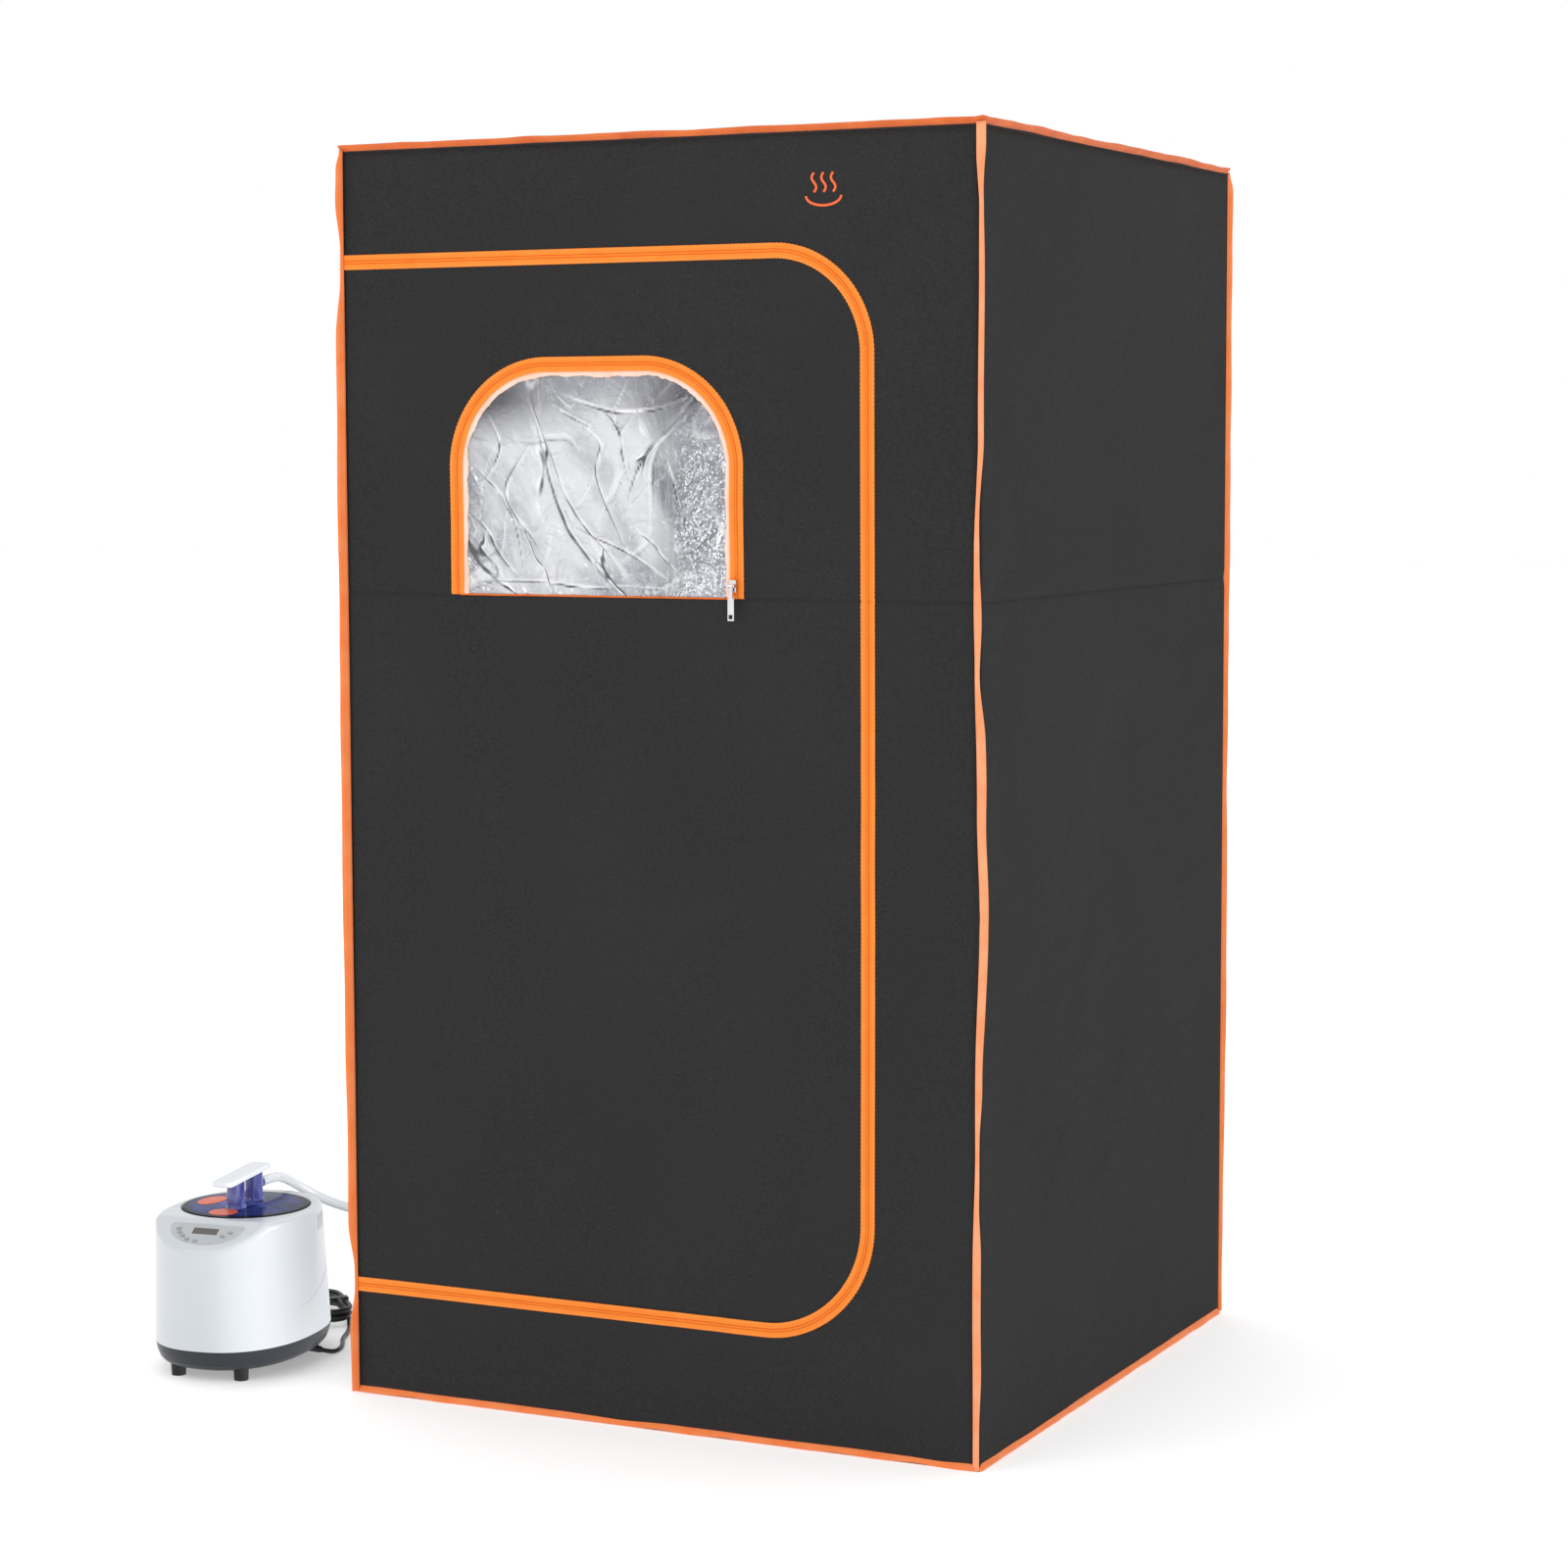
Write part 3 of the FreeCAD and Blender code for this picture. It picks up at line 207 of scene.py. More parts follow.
def make_cloth():
    """Charcoal coated polyester: close plain weave, a little lint, and slack wrinkles on the bias."""
    made = Finish("cabin_cloth", Specular_IOR_Level=0.08)
    slow = made.limits(made.noise(3.2, 5, twist=0.8), 0.3, 0.7)
    base = made.mix(slow, rgba(0.0225, 0.0225, 0.0228), rgba(0.0265, 0.0265, 0.0268))
    grain = made.limits(made.noise(430, 4), 0.35, 0.7)
    base = made.mix(made.maths("MULTIPLY", grain, 0.62), base, rgba(0.040, 0.040, 0.0405))
    lint = made.limits(made.cells(95), 0.055, 0.03)
    rare = made.limits(made.noise(21, 2), 0.62, 0.66)
    base = made.mix(made.maths("MULTIPLY", lint, rare), base, rgba(0.13, 0.13, 0.13))
    made.set("Base Color", base)
    made.set("Roughness", made.limits(made.noise(300, 3), 0.3, 0.7, 0.78, 0.92))
    slack = made.noise(9, 3, stretch=(0.35, 0.35, 1.3), turn=(0.5, 0.5, 0.3), twist=1.2)
    made.bump(made.limits(slack, 0.35, 0.75), 0.0026)
    made.bump(made.noise(48, 4, twist=0.5), 0.0003)
    return made.bump(made.noise(1100, 2), 0.0002).material


def make_foil():
    """Silver foil lining: sharp crinkles of three sizes."""
    made = Finish("foil_lining", Metallic=0.8, Base_Color=rgba(0.84, 0.85, 0.88))
    made.set("Roughness", made.limits(made.noise(40, 4), 0.3, 0.7, 0.20, 0.38))

    def ridges(scale, twist):
        away = made.maths("SUBTRACT", made.noise(scale, 3, twist=twist), 0.5)
        return made.maths("ABSOLUTE", away, 0.0)

    made.bump(ridges(7, 1.2), 0.05)
    made.bump(ridges(23, 1.6), 0.016)
    return made.bump(ridges(85, 0.8), 0.004).material


def make_webbing(name, light, dark, weave=1500):
    """Woven orange tape: ribs across the tape, and dye that varies along it."""
    made = Finish(name, Sheen_Weight=0.15, Sheen_Roughness=0.4, Specular_IOR_Level=0.25)
    drift = made.limits(made.noise(26, 4, twist=0.7), 0.3, 0.7)
    ribs = made.noise(weave, 2)
    body = made.mix(drift, rgba(*light), rgba(*dark))
    made.set("Base Color", made.mix(made.limits(ribs, 0.35, 0.75, 0.0, 0.22), body, rgba(*dark)))
    made.set("Roughness", made.limits(ribs, 0.3, 0.7, 0.6, 0.8))
    made.bump(made.noise(75, 3), 0.0004)
    return made.bump(ribs, 0.0003).material


FOLD_LEAN = 0.44           # radians; the film's folds run down to the right


def make_film():
    """Clear PVC: see-through, with painted highlights along its creases, painted shade beside them, and broad
    patches of painted reflection.
    """
    made = Finish("window_pvc", IOR=1.5, Specular_IOR_Level=0.8)
    made.place = node(made.tree, "ShaderNodeMapping", {
        "Vector": made.place, "Rotation": (0, FOLD_LEAN, 0)}).outputs["Vector"]

    def layer(name):
        return node(made.tree, "ShaderNodeAttribute", attribute_name=name).outputs["Fac"]

    crease, shade = layer("crease"), layer("shade")
    folds = made.noise(13, 3, stretch=(1, 1, 0.38), twist=0.7)
    where = made.limits(made.noise(15, 3, stretch=(1, 1, 0.6)), 0.47, 0.58)

    def with_painted_fold_lines(line, level, half):
        """Add a painted line where the fold noise passes a level, in the film's patches of painted
        reflection.
        """
        away = made.maths("ABSOLUTE", made.maths("SUBTRACT", folds, level), 0.0)
        fold = made.maths("MULTIPLY", made.limits(away, half, half * 0.35), where)
        return made.maths("MAXIMUM", line, made.maths("MULTIPLY", fold, layer("painted_reflection")))

    crease = with_painted_fold_lines(crease, 0.519, 0.011)
    shade = with_painted_fold_lines(shade, 0.500, 0.012)
    cloud = made.noise(8, 5, stretch=(1, 1, 0.45), twist=1.2)
    # painted reflection: broad bright cloudy patches, where its mask allows
    painted_reflection = made.maths("MULTIPLY", made.limits(cloud, 0.40, 0.60, 0.12, 0.9), layer("painted_reflection"))
    drops = made.maths("MULTIPLY", made.limits(made.cells(210), 0.42, 0.20), layer("damp"))
    glint = made.limits(made.noise(42, 4, stretch=(1, 1, 0.45), twist=2.5), 0.58, 0.70)
    made.bump(made.noise(15, 4, twist=2.0), 0.012)
    made.bump(made.noise(120, 3), 0.0006)
    # Painted crease highlights, painted reflection and painted glints, with the steam beads, make the film
    # paler and less clear; painted shade makes it dark.
    pale = made.maths("ADD", made.maths("MULTIPLY", crease, 0.62), made.maths("MULTIPLY", painted_reflection, 0.60))
    pale = made.maths("MAXIMUM", pale, made.maths("MULTIPLY", glint, 0.5))
    pale = made.maths("MAXIMUM", pale, made.maths("MULTIPLY", drops, 0.8))
    shown = made.maths("MAXIMUM", pale, made.maths("MULTIPLY", shade, 0.9))
    made.set("Alpha", made.limits(shown, 0.0, 1.0, 0.09, 0.95))
    body = made.mix(made.limits(pale, 0.0, 0.5), rgba(0.60, 0.61, 0.66), rgba(0.88, 0.89, 0.91))
    made.set("Base Color", made.mix(made.limits(shade, 0.1, 0.7), body, rgba(0.07, 0.07, 0.085)))
    made.set("Roughness", made.limits(made.noise(60, 3), 0.3, 0.7, 0.05, 0.14))
    return made.material


def make_lid(centre):
    """Deep violet-blue see-through plastic, with a painted shadow that makes it near black at its rim and a
    painted glow that makes it brighter by the columns.
    """
    made = Finish("lid_plastic", Specular_IOR_Level=0.02, Coat_Weight=0.05, Coat_Roughness=0.06, Alpha=0.965)
    away = node(made.tree, "ShaderNodeVectorMath", {0: made.place, 1: centre},
                operation="DISTANCE").outputs["Value"]
    drift = made.noise(24, 3, twist=1.5)
    # painted glow: brighter blue near the lid's middle by the columns, broken into streaks
    glow_streaks = made.limits(made.noise(55, 4, stretch=(0.5, 1, 1), twist=2.0), 0.45, 0.62)
    painted_column_glow = made.limits(made.maths("ADD", away, made.maths("MULTIPLY", drift, 0.03)), 0.062, 0.030)
    body = made.mix(made.limits(drift, 0.35, 0.65), rgba(0.010, 0.019, 0.10), rgba(0.032, 0.052, 0.28))
    body = made.mix(made.maths("MULTIPLY", painted_column_glow, glow_streaks), body, rgba(0.17, 0.24, 0.72))
    # painted shadow: near black in a ring at the rim, where the lid sits down inside the casing's raised rim
    made.set("Base Color", made.mix(made.limits(away, 0.067, 0.077), body, rgba(0.005, 0.006, 0.016)))
    made.set("Roughness", made.limits(made.noise(90, 4), 0.3, 0.7, 0.08, 0.2))
    return made.bump(made.noise(24, 2), 0.0006).material


def make_column():
    """The same plastic in thinner walls: lighter and bluer."""
    made = Finish("column_plastic", Specular_IOR_Level=0.3, Coat_Weight=0.4, Coat_Roughness=0.05, Alpha=0.93)
    drift = made.limits(made.noise(95, 3, stretch=(1, 1, 0.25), twist=0.6), 0.35, 0.65)
    made.set("Base Color", made.mix(drift, rgba(0.046, 0.052, 0.235), rgba(0.165, 0.175, 0.44)))
    made.set("Roughness", made.limits(made.noise(90, 4), 0.3, 0.7, 0.07, 0.15))
    return made.bump(made.noise(40, 2), 0.0006).material


CLOTH_OUT = make_cloth()
FOIL = make_foil()
TAPE = make_webbing("zip_tape", (0.98, 0.285, 0.040), (0.96, 0.25, 0.028))
TAPE_MID = make_webbing("zip_inner_tape", (0.98, 0.285, 0.031), (0.96, 0.25, 0.022), 2200)
TAPE_DEEP = make_webbing("zip_line", (0.88, 0.160, 0.010), (0.82, 0.14, 0.008), 2200)
BIND = make_webbing("edge_binding", (0.93, 0.27, 0.09), (0.88, 0.20, 0.045))
# The near upright edge's tape is a lighter copy of the same orange tape: a painted highlight.
BIND_PAINTED_LIT = make_webbing("near_edge_tape_painted_light", (0.95, 0.40, 0.20), (0.92, 0.30, 0.12))
# The roof edge's tape is a darker copy of the same orange tape: painted shade.
BIND_PAINTED_SHADE = make_webbing("roof_edge_tape_painted_shade", (0.78, 0.18, 0.045), (0.66, 0.125, 0.03))
PEACH = make_webbing("film_hem", (0.94, 0.73, 0.63), (0.92, 0.58, 0.43))
FILM = make_film()
lid_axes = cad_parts["lid_disc"].matrix_world.inverted() @ STEAMER
LID = make_lid(lid_axes @ Vector((0, LID_MIDDLE, LID_EDGE_Z)))
COLUMN = make_column()
METAL = moulded("slider_metal", (0.78, 0.78, 0.80), (0.62, 0.62, 0.65), 0.22, 700, metal=1.0)
STEEL = moulded("pot_steel", (0.60, 0.60, 0.61), (0.48, 0.48, 0.50), 0.28, 420, 0.00003, metal=1.0)
ALUMINIUM = moulded("heater_metal", (0.55, 0.56, 0.58), (0.40, 0.41, 0.43), 0.45, 260, 0.00006, metal=1.0)
WHITE = moulded("casing_white", (0.575, 0.606, 0.638), (0.565, 0.596, 0.628), 0.30, 45, 0.00006, wear=0.03,
                Coat_Weight=0.35, Coat_Roughness=0.12)
HANDLE_WHITE = moulded("handle_white", (0.80, 0.83, 0.865), (0.775, 0.805, 0.84), 0.3, 60, 0.00004, wear=0.05)
GREY = moulded("base_grey", (0.030, 0.034, 0.041), (0.027, 0.030, 0.037), 0.34, 1300, 0.00002,
               Specular_IOR_Level=0.3)
FOOT = moulded("foot_rubber", (0.016, 0.017, 0.020), (0.012, 0.013, 0.015), 0.5, 1500, 0.00007,
               Specular_IOR_Level=0.3)
SILVER = moulded("panel_silver", (0.50, 0.52, 0.54), (0.44, 0.46, 0.48), 0.34, 1800, 0.00003, 0.25)
KEY = moulded("key_grey", (0.36, 0.38, 0.40), (0.30, 0.32, 0.34), 0.4, 1200)
LCD = moulded("display_glass", (0.098, 0.080, 0.070), (0.080, 0.066, 0.058), 0.12, 300, 0.00001,
              Coat_Weight=0.6, Coat_Roughness=0.05)
CORD = moulded("cord_black", (0.014, 0.014, 0.015), (0.010, 0.010, 0.011), 0.42, 1600, 0.00006)
HOSE = moulded("hose_silicone", (0.72, 0.74, 0.765), (0.68, 0.70, 0.73), 0.3, 600, 0.00003,
               Subsurface_Weight=0.4, Subsurface_Scale=0.004, Subsurface_Radius=(1, 1, 1))
POLE = moulded("pole_steel", (0.74, 0.75, 0.77), (0.62, 0.63, 0.65), 0.2, 240, 0.00004, metal=1.0)
JOINER = moulded("joiner_plastic", (0.045, 0.046, 0.05), (0.033, 0.034, 0.038), 0.48, 1000, 0.00005)
HERB = moulded("herb_box_plastic", (0.70, 0.71, 0.72), (0.63, 0.64, 0.66), 0.38, 900, 0.00004)
RUBBER = moulded("seal_silicone", (0.55, 0.56, 0.58), (0.47, 0.48, 0.50), 0.55, 900, 0.00004)
BOARD = moulded("circuit_board", (0.03, 0.16, 0.06), (0.02, 0.11, 0.045), 0.4, 1100, 0.00004)
STICKER = moulded("orange_label", (0.88, 0.13, 0.045), (0.84, 0.11, 0.035), 0.4, 1000)
PRINT = moulded("orange_print", (0.92, 0.15, 0.03), (0.88, 0.12, 0.02), 0.6, 1400, 0.00004)
STRAP = moulded("cord_tie_vinyl", (0.02, 0.02, 0.022), (0.014, 0.014, 0.016), 0.5, 1500, 0.00006)

# The CAD pieces that keep their shape.
CAD_FINISHES = {
    POLE: ["bottom_rails", "top_rails", "lower_uprights", "upper_uprights"],
    JOINER: ["bottom_corner_connectors", "top_corner_connectors", "upright_couplers", "steam_port"],
    METAL: ["window_zip_slider", "window_zip_pull", "door_zip_slider", "door_zip_pull", "base_screws"],
    HERB: ["herb_box", "herb_box_cover"],
    WHITE: ["steamer_casing"],
    GREY: ["steamer_base"],
    FOOT: ["steamer_feet"],
    STEEL: ["water_pot"],
    ALUMINIUM: ["heater_plate", "thermostat"],
    BOARD: ["main_board", "control_board"],
    SILVER: ["control_panel"],
    LCD: ["display_window"],
    KEY: [f"{name}_key" for name in ("power", "heat_up", "heat_down", "timer", "mode", "start", "stop")],
    LID: ["lid_disc"],
    COLUMN: ["steam_outlet_column", "valve_column"],
    RUBBER: ["lid_seal", "relief_valve"],
    CORD: ["cord_strain_relief", "power_plug"],
    STRAP: ["cord_tie"],
}
for material, names in CAD_FINISHES.items():
    for name in names:
        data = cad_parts[name].data
        data.materials.clear()
        data.materials.append(material)


# =====================================================================  mesh helpers

def piece(name, points, faces, materials, finish, body="root", indices=None):
    """One mesh object that rides on a body; finish is not used."""
    mesh = bpy.data.meshes.new(name)
    mesh.from_pydata([tuple(p) for p in points], [], faces)
    for material in materials:
        mesh.materials.append(material)
    if indices is not None:
        mesh.polygons.foreach_set("material_index", indices)
    mesh.polygons.foreach_set("use_smooth", [True] * len(mesh.polygons))
    mesh.validate()
    mesh.update()
    made = add(name, mesh)
    if body:
        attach(made, body)
    return made


def loft(rings, size, closed=False):
    """Faces round a run of equal rings of points, joined into a loop or capped at both ends."""
    total = rings * size
    faces = []
    for i in range(rings if closed else rings - 1):
        for k in range(size):
            a, b = i * size + k, i * size + (k + 1) % size
            faces.append((a, b, (b + size) % total, (a + size) % total))
    if not closed:
        faces.append(tuple(range(size))[::-1])
        faces.append(tuple(range(total - size, total)))
    return faces


def outwards(points, faces):
    """The faces of a closed form, turned over where they face its inside."""
    volume = 0.0
    for face in faces:
        a = points[face[0]]
        for b, c in zip(face[1:], face[2:]):
            volume += (a - points[0]).dot((points[b] - a).cross(points[c] - a))
    return faces if volume > 0 else [face[::-1] for face in faces]


def skin(outer, inner, triangles):
    """Faces of two layers over the same triangles, then of the rim between them, and the rim's face count."""
    count = len(outer)
    p, q, r = (outer[i] for i in triangles[0])
    if (q - p).cross(r - p).dot(p - inner[triangles[0][0]]) < 0:
        triangles = triangles[:, ::-1]
    faces = [tuple(int(i) for i in t) for t in triangles]
    edges = dict.fromkeys(edge for a, b, c in faces for edge in ((a, b), (b, c), (c, a)))
    rim = [(b, a, a + count, b + count) for a, b in edges if (b, a) not in edges]
    return faces + [(c + count, b + count, a + count) for a, b, c in faces] + rim, len(rim)


def heading(line, i):
    """Direction of a line at one of its points."""
    return (line[min(i + 1, len(line) - 1)] - line[max(i - 1, 0)]).normalized()


def rounded_path(corners, step):
    """Points along straight runs joined by arcs, from corners given as (x, z, radius)."""
    knots = [Vector(c[:2]) for c in corners]
    points = [knots[0]]

    def run(to):
        here = points[-1]
        count = max(1, round((to - here).length / step))
        points.extend(here.lerp(to, i / count) for i in range(1, count + 1))

    for i in range(1, len(knots) - 1):
        radius = corners[i][2]
        before = (knots[i - 1] - knots[i]).normalized()
        after = (knots[i + 1] - knots[i]).normalized()
        if radius <= 0:
            run(knots[i])
            continue
        first = knots[i] + before * radius
        centre = first + after * radius
        run(first)
        count = max(3, round(radius * math.pi / 2 / step))
        for k in range(1, count + 1):
            angle = math.pi / 2 * k / count
            points.append(centre - after * radius * math.cos(angle) - before * radius * math.sin(angle))
    run(knots[-1])
    return points


def door_line(grow, step, left=-INNER):
    """The door zip's line, moved outwards by grow."""
    return rounded_path([
        (left, DOOR_TOP + grow, 0),
        (DOOR_RIGHT + grow, DOOR_TOP + grow, DOOR_TOP_RADIUS + grow),
        (DOOR_RIGHT + grow, DOOR_LOW - grow, DOOR_LOW_RADIUS + grow),
        (left, DOOR_LOW - grow, 0)], step)


def window_line(grow, step, low=WINDOW_LOW):
    """The window zip's line, moved outwards by grow."""
    return rounded_path([
        (WINDOW_LEFT - grow, low, 0),
        (WINDOW_LEFT - grow, WINDOW_TOP + grow, WINDOW_RADIUS + grow),
        (WINDOW_RIGHT + grow, WINDOW_TOP + grow, WINDOW_RADIUS + grow),
        (WINDOW_RIGHT + grow, low, 0)], step)


def inside(points, loop):
    """Which of the points lie inside a closed loop."""
    x, y = points[:, 0], points[:, 1]
    hit = np.zeros(len(points), bool)
    for (x0, y0), (x1, y1) in zip(loop, np.roll(loop, -1, axis=0)):
        if y0 == y1:
            continue
        crosses = (y0 > y) != (y1 > y)
        hit ^= crosses & (x < x0 + (x1 - x0) * (y - y0) / (y1 - y0))
    return hit


def near(points, loop, reach):
    """Which of the points lie within reach of a closed loop."""
    sides = np.roll(loop, -1, axis=0) - loop
    close = np.zeros(len(points), bool)
    for start, along in zip(loop, sides):
        t = np.clip(((points - start) @ along) / max(along @ along, 1e-12), 0, 1)
        gap = points - start - t[:, None] * along
        close |= (gap * gap).sum(1) < reach * reach
    return close


ROW_SHIFTS = (-0.0022, -0.0008, 0.0008, 0.0022)     # fine rows of points either side of a seam


def fill(outline, holes, step, rows=()):
    """Even triangles over a flat outline with holes: its points and triangles."""
    loops = [np.array([tuple(p) for p in loop], float) for loop in [outline, *holes]]
    low, high = loops[0].min(0), loops[0].max(0)
    across = np.arange(low[0] + step / 2, high[0], step)
    levels = [z for z in np.arange(low[1] + step / 2, high[1], step)
              if all(abs(z - row) > step * 0.45 for row in rows)]
    levels += [row + shift for row in rows for shift in ROW_SHIFTS]
    grid = np.array([(x, z) for z in levels for x in across if low[1] < z < high[1]])
    keep = inside(grid, loops[0]) & ~near(grid, loops[0], step * 0.5)
    for hole in loops[1:]:
        keep &= ~inside(grid, hole) & ~near(grid, hole, step * 0.5)
    grid = grid[keep]
    points, edges = [], []
    for loop in loops:
        first = len(points)
        points.extend(map(tuple, loop))
        edges.extend((first + i, first + (i + 1) % len(loop)) for i in range(len(loop)))
    points.extend(map(tuple, grid))
    flat, _, triangles, *_ = geometry.delaunay_2d_cdt([Vector(p) for p in points], edges, [], 0, 1e-7)
    flat = np.array([tuple(p) for p in flat])
    triangles = np.array([list(t) for t in triangles])
    middle = flat[triangles].mean(1)
    keep = inside(middle, loops[0])
    for hole in loops[1:]:
        keep &= ~inside(middle, hole)
    return flat, triangles[keep]


def crumple(u, v, fade):
    """How far the foil lining stands in from the cloth, in crinkled folds."""
    at = Vector((u * 12, v * 12, 2.5))
    return fade * (0.010 * abs(noise.noise(at)) + 0.0045 * abs(noise.noise(at * 2.7)))


def sheet(name, outline, holes, place, lift, step, rows=(), slack=None, **facts):
    """A cloth panel of two layers. place turns (u, v, out) into a point, lift gives how far the
    cloth stands out from its flat plane, and slack how freely its lining crumples."""
    flat, triangles = fill(outline, holes, step, rows)
    rise = [lift(u, v) for u, v in flat]
    deep = [CLOTH + crumple(u, v, slack(u, v)) if slack else CLOTH for u, v in flat]
    outer = [place(u, v, h) for (u, v), h in zip(flat, rise)]
    inner = [place(u, v, h - d) for (u, v), h, d in zip(flat, rise, deep)]
    faces, rim = skin(outer, inner, triangles)
    indices = [0] * len(triangles) + [1] * len(triangles) + [0] * rim
    return piece(name, outer + inner, faces, [CLOTH_OUT, FOIL], "cabin_cloth", indices=indices, **facts)


def ribbon(name, line, frame_at, profile, materials, bands=None, shift=None, closed=False, **facts):
    """A strip swept along a line. profile has (across, height) points, first to last round its
    section, frame_at gives a point and its across and height directions, and shift moves a
    profile point."""
    points = []
    for i in range(len(line)):
        origin, across, height = frame_at(i)
        for k, (s, h) in enumerate(profile):
            ds, dh = shift(i, k) if shift else (0.0, 0.0)
            points.append(origin + across * (s + ds) + height * (h + dh))
    runs = len(line) if closed else len(line) - 1
    indices = (bands or [0] * len(profile)) * runs + ([] if closed else [0, 0])
    faces = outwards(points, loft(len(line), len(profile), closed))
    return piece(name, points, faces, materials, indices=indices, **facts)


def tube(name, path, radius, material, sides=20, **facts):
    """A round tube with a closed end at each end of its path, and rings at the path's points."""
    points = []
    side = (path[1] - path[0]).normalized().orthogonal().normalized()
    for i, centre in enumerate(path):
        ahead = heading(path, i)
        side = (side - ahead * side.dot(ahead)).normalized()
        other = ahead.cross(side)
        for k in range(sides):
            angle = 2 * math.pi * k / sides
            points.append(centre + (side * math.cos(angle) + other * math.sin(angle)) * radius)
    return piece(name, points, loft(len(path), sides), [material], **facts)


# =====================================================================  cords

def spline(name, route, detail):
    """One smooth NURBS line through the air near the route's points."""
    data = bpy.data.curves.new(name, "CURVE")
    data.dimensions = "3D"
    data.resolution_u = detail
    line = data.splines.new("NURBS")
    line.points.add(len(route) - 1)
    for point, place in zip(line.points, route):
        point.co = (*place, 1.0)
    line.order_u = 3
    line.use_endpoint_u = True
    return add(name, data)


def line_points(route, detail):
    """The points of the route's NURBS line."""
    curve = spline("guide", route, detail)
    mesh = bpy.data.meshes.new_from_object(curve)
    points = [v.co.copy() for v in mesh.vertices]
    bpy.data.objects.remove(curve)
    bpy.data.meshes.remove(mesh)
    return points


HOSE_WIDTH = 0.013
HOSE_ROUTE = [
    (-0.64527, -0.29172, 0.2215), (-0.64915, -0.26097, 0.2215), (-0.653, -0.233, 0.217),
    (-0.6495, -0.208, 0.204), (-0.638, -0.187, 0.188), (-0.620, -0.170, 0.1745),
    (-0.593, -0.150, 0.1625), (-0.556, -0.130, 0.152), (-0.514, -0.115, 0.143),
    (-0.466, -0.110, 0.140), (-0.380, -0.110, 0.140), (-0.325, -0.1105, 0.114),
    (-0.284, -0.112, 0.072), (-0.244, -0.114, 0.033), (-0.196, -0.109, 0.014),
    (-0.143, -0.094, 0.0112), (-0.097, -0.060, 0.015), (-0.0654, -0.0173, 0.022),
    (-0.050, 0.025, 0.022),
]

hose_path = line_points(HOSE_ROUTE, 8)
hose = tube("hose", hose_path, HOSE_WIDTH / 2, HOSE, finish="hose_vinyl", body=None)
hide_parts("steam_hose")
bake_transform(hose)

LEAD_WIDTH = 0.006
LEAD_ROUTE = [
    (0.0888, 0.0406, 0.0092), (0.098, 0.053, 0.0032), (0.101, 0.072, 0.0032), (0.0935, 0.096, 0.0032),
    (0.0805, 0.122, 0.0032), (0.074, 0.149, 0.0032), (0.065, 0.177, 0.0032), (0.052, 0.203, 0.0036),
]
TAIL_ROUTE = [
    (-0.046, 0.280, 0.0214), (-0.066, 0.271, 0.0112), (-0.084, 0.257, 0.0045), (-0.0955, 0.235, 0.0050),
    (-0.094, 0.212, 0.008), (-0.085, 0.186, 0.008),
]
HANK_CENTRE = Vector((0.004, 0.238, 0))
HANK_TURN = math.radians(127)
HANK_RUN = 0.034          # half of the hank's straight runs
HANK_WIDE = 0.0238        # half width of the outer turns, at the cord's middle
HANK_NARROW = 0.0196      # half width of the turns that lie inside them
HANK_TURNS = 4.35
HANK_STEPS = 20
HANK_START = 0.034        # share of a turn
HANK_LOW = 0.0046
HANK_RISE = 0.0042        # from turn to turn
HANK_UNEVEN = 0.0016      # by how much the turns' runs differ


def racetrack(share, run, wide):
    """Place along and across a ring of two straight runs and two half circles, at a share of its length."""
    half = 2 * run + math.pi * wide
    at = share % 1.0 * 2 * half
    side = 1 if at < half else -1
    at %= half
    if at < 2 * run:
        return side * (at - run), side * wide
    turn = (at - 2 * run) / wide
    return side * (run + wide * math.sin(turn)), side * wide * math.cos(turn)


def hank_points():
    """Turns of the hank, wound upwards as a flat racetrack, every other turn inside the one below."""
    along = Vector((math.cos(HANK_TURN), math.sin(HANK_TURN), 0))
    across = Vector((math.sin(HANK_TURN), -math.cos(HANK_TURN), 0))
    points = []
    for i in range(round(HANK_TURNS * HANK_STEPS)):
        turn = i / HANK_STEPS
        outer = 0.5 + 0.5 * max(-1.0, min(1.0, 2.5 * math.cos(math.pi * turn)))
        wide = HANK_NARROW + (HANK_WIDE - HANK_NARROW) * outer
        run = HANK_RUN + HANK_UNEVEN * math.sin(2.1 * int(turn + 0.5) + 0.6)
        ahead, aside = racetrack(turn + HANK_START, run, wide)
        high = Vector((0, 0, HANK_LOW + HANK_RISE * turn))
        points.append(HANK_CENTRE + along * ahead + across * aside + high)
    return points


lead_route = [STEAMER @ Vector(p) for p in LEAD_ROUTE]
lead_route += [STEAMER @ p for p in hank_points()]
lead_route += [STEAMER @ Vector(p) for p in TAIL_ROUTE]
lead = spline("power_cord", lead_route, 6)
lead.data.bevel_depth = LEAD_WIDTH / 2
lead.data.bevel_resolution = 5
lead.data.use_fill_caps = True
lead.data.materials.append(CORD)
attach(lead, "root")
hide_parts("power_cord_lead", "power_cord_hank", "power_cord_tail")


# =====================================================================  cabin cloth

SAG = 0.0045              # how far a wall's middle hangs in between the poles
SLACK = 0.0016            # depth of the slow folds
CREASE = 0.0009           # depth of the bias wrinkles
SEAM_DEPTH = 0.0016
SEAM_HALF = 0.0022        # half width of the seam's groove
PUCKER_RISE = 0.0003      # height of the cloth's puckers either side of it
PUCKER_OFF = 0.006        # from the seam to the puckers' middle
EDGE_FADE = 0.05          # the relief fades out over this much at a wall's edge


def ease(value):
    value = min(1.0, max(0.0, value))
    return value * value * (3 - 2 * value)


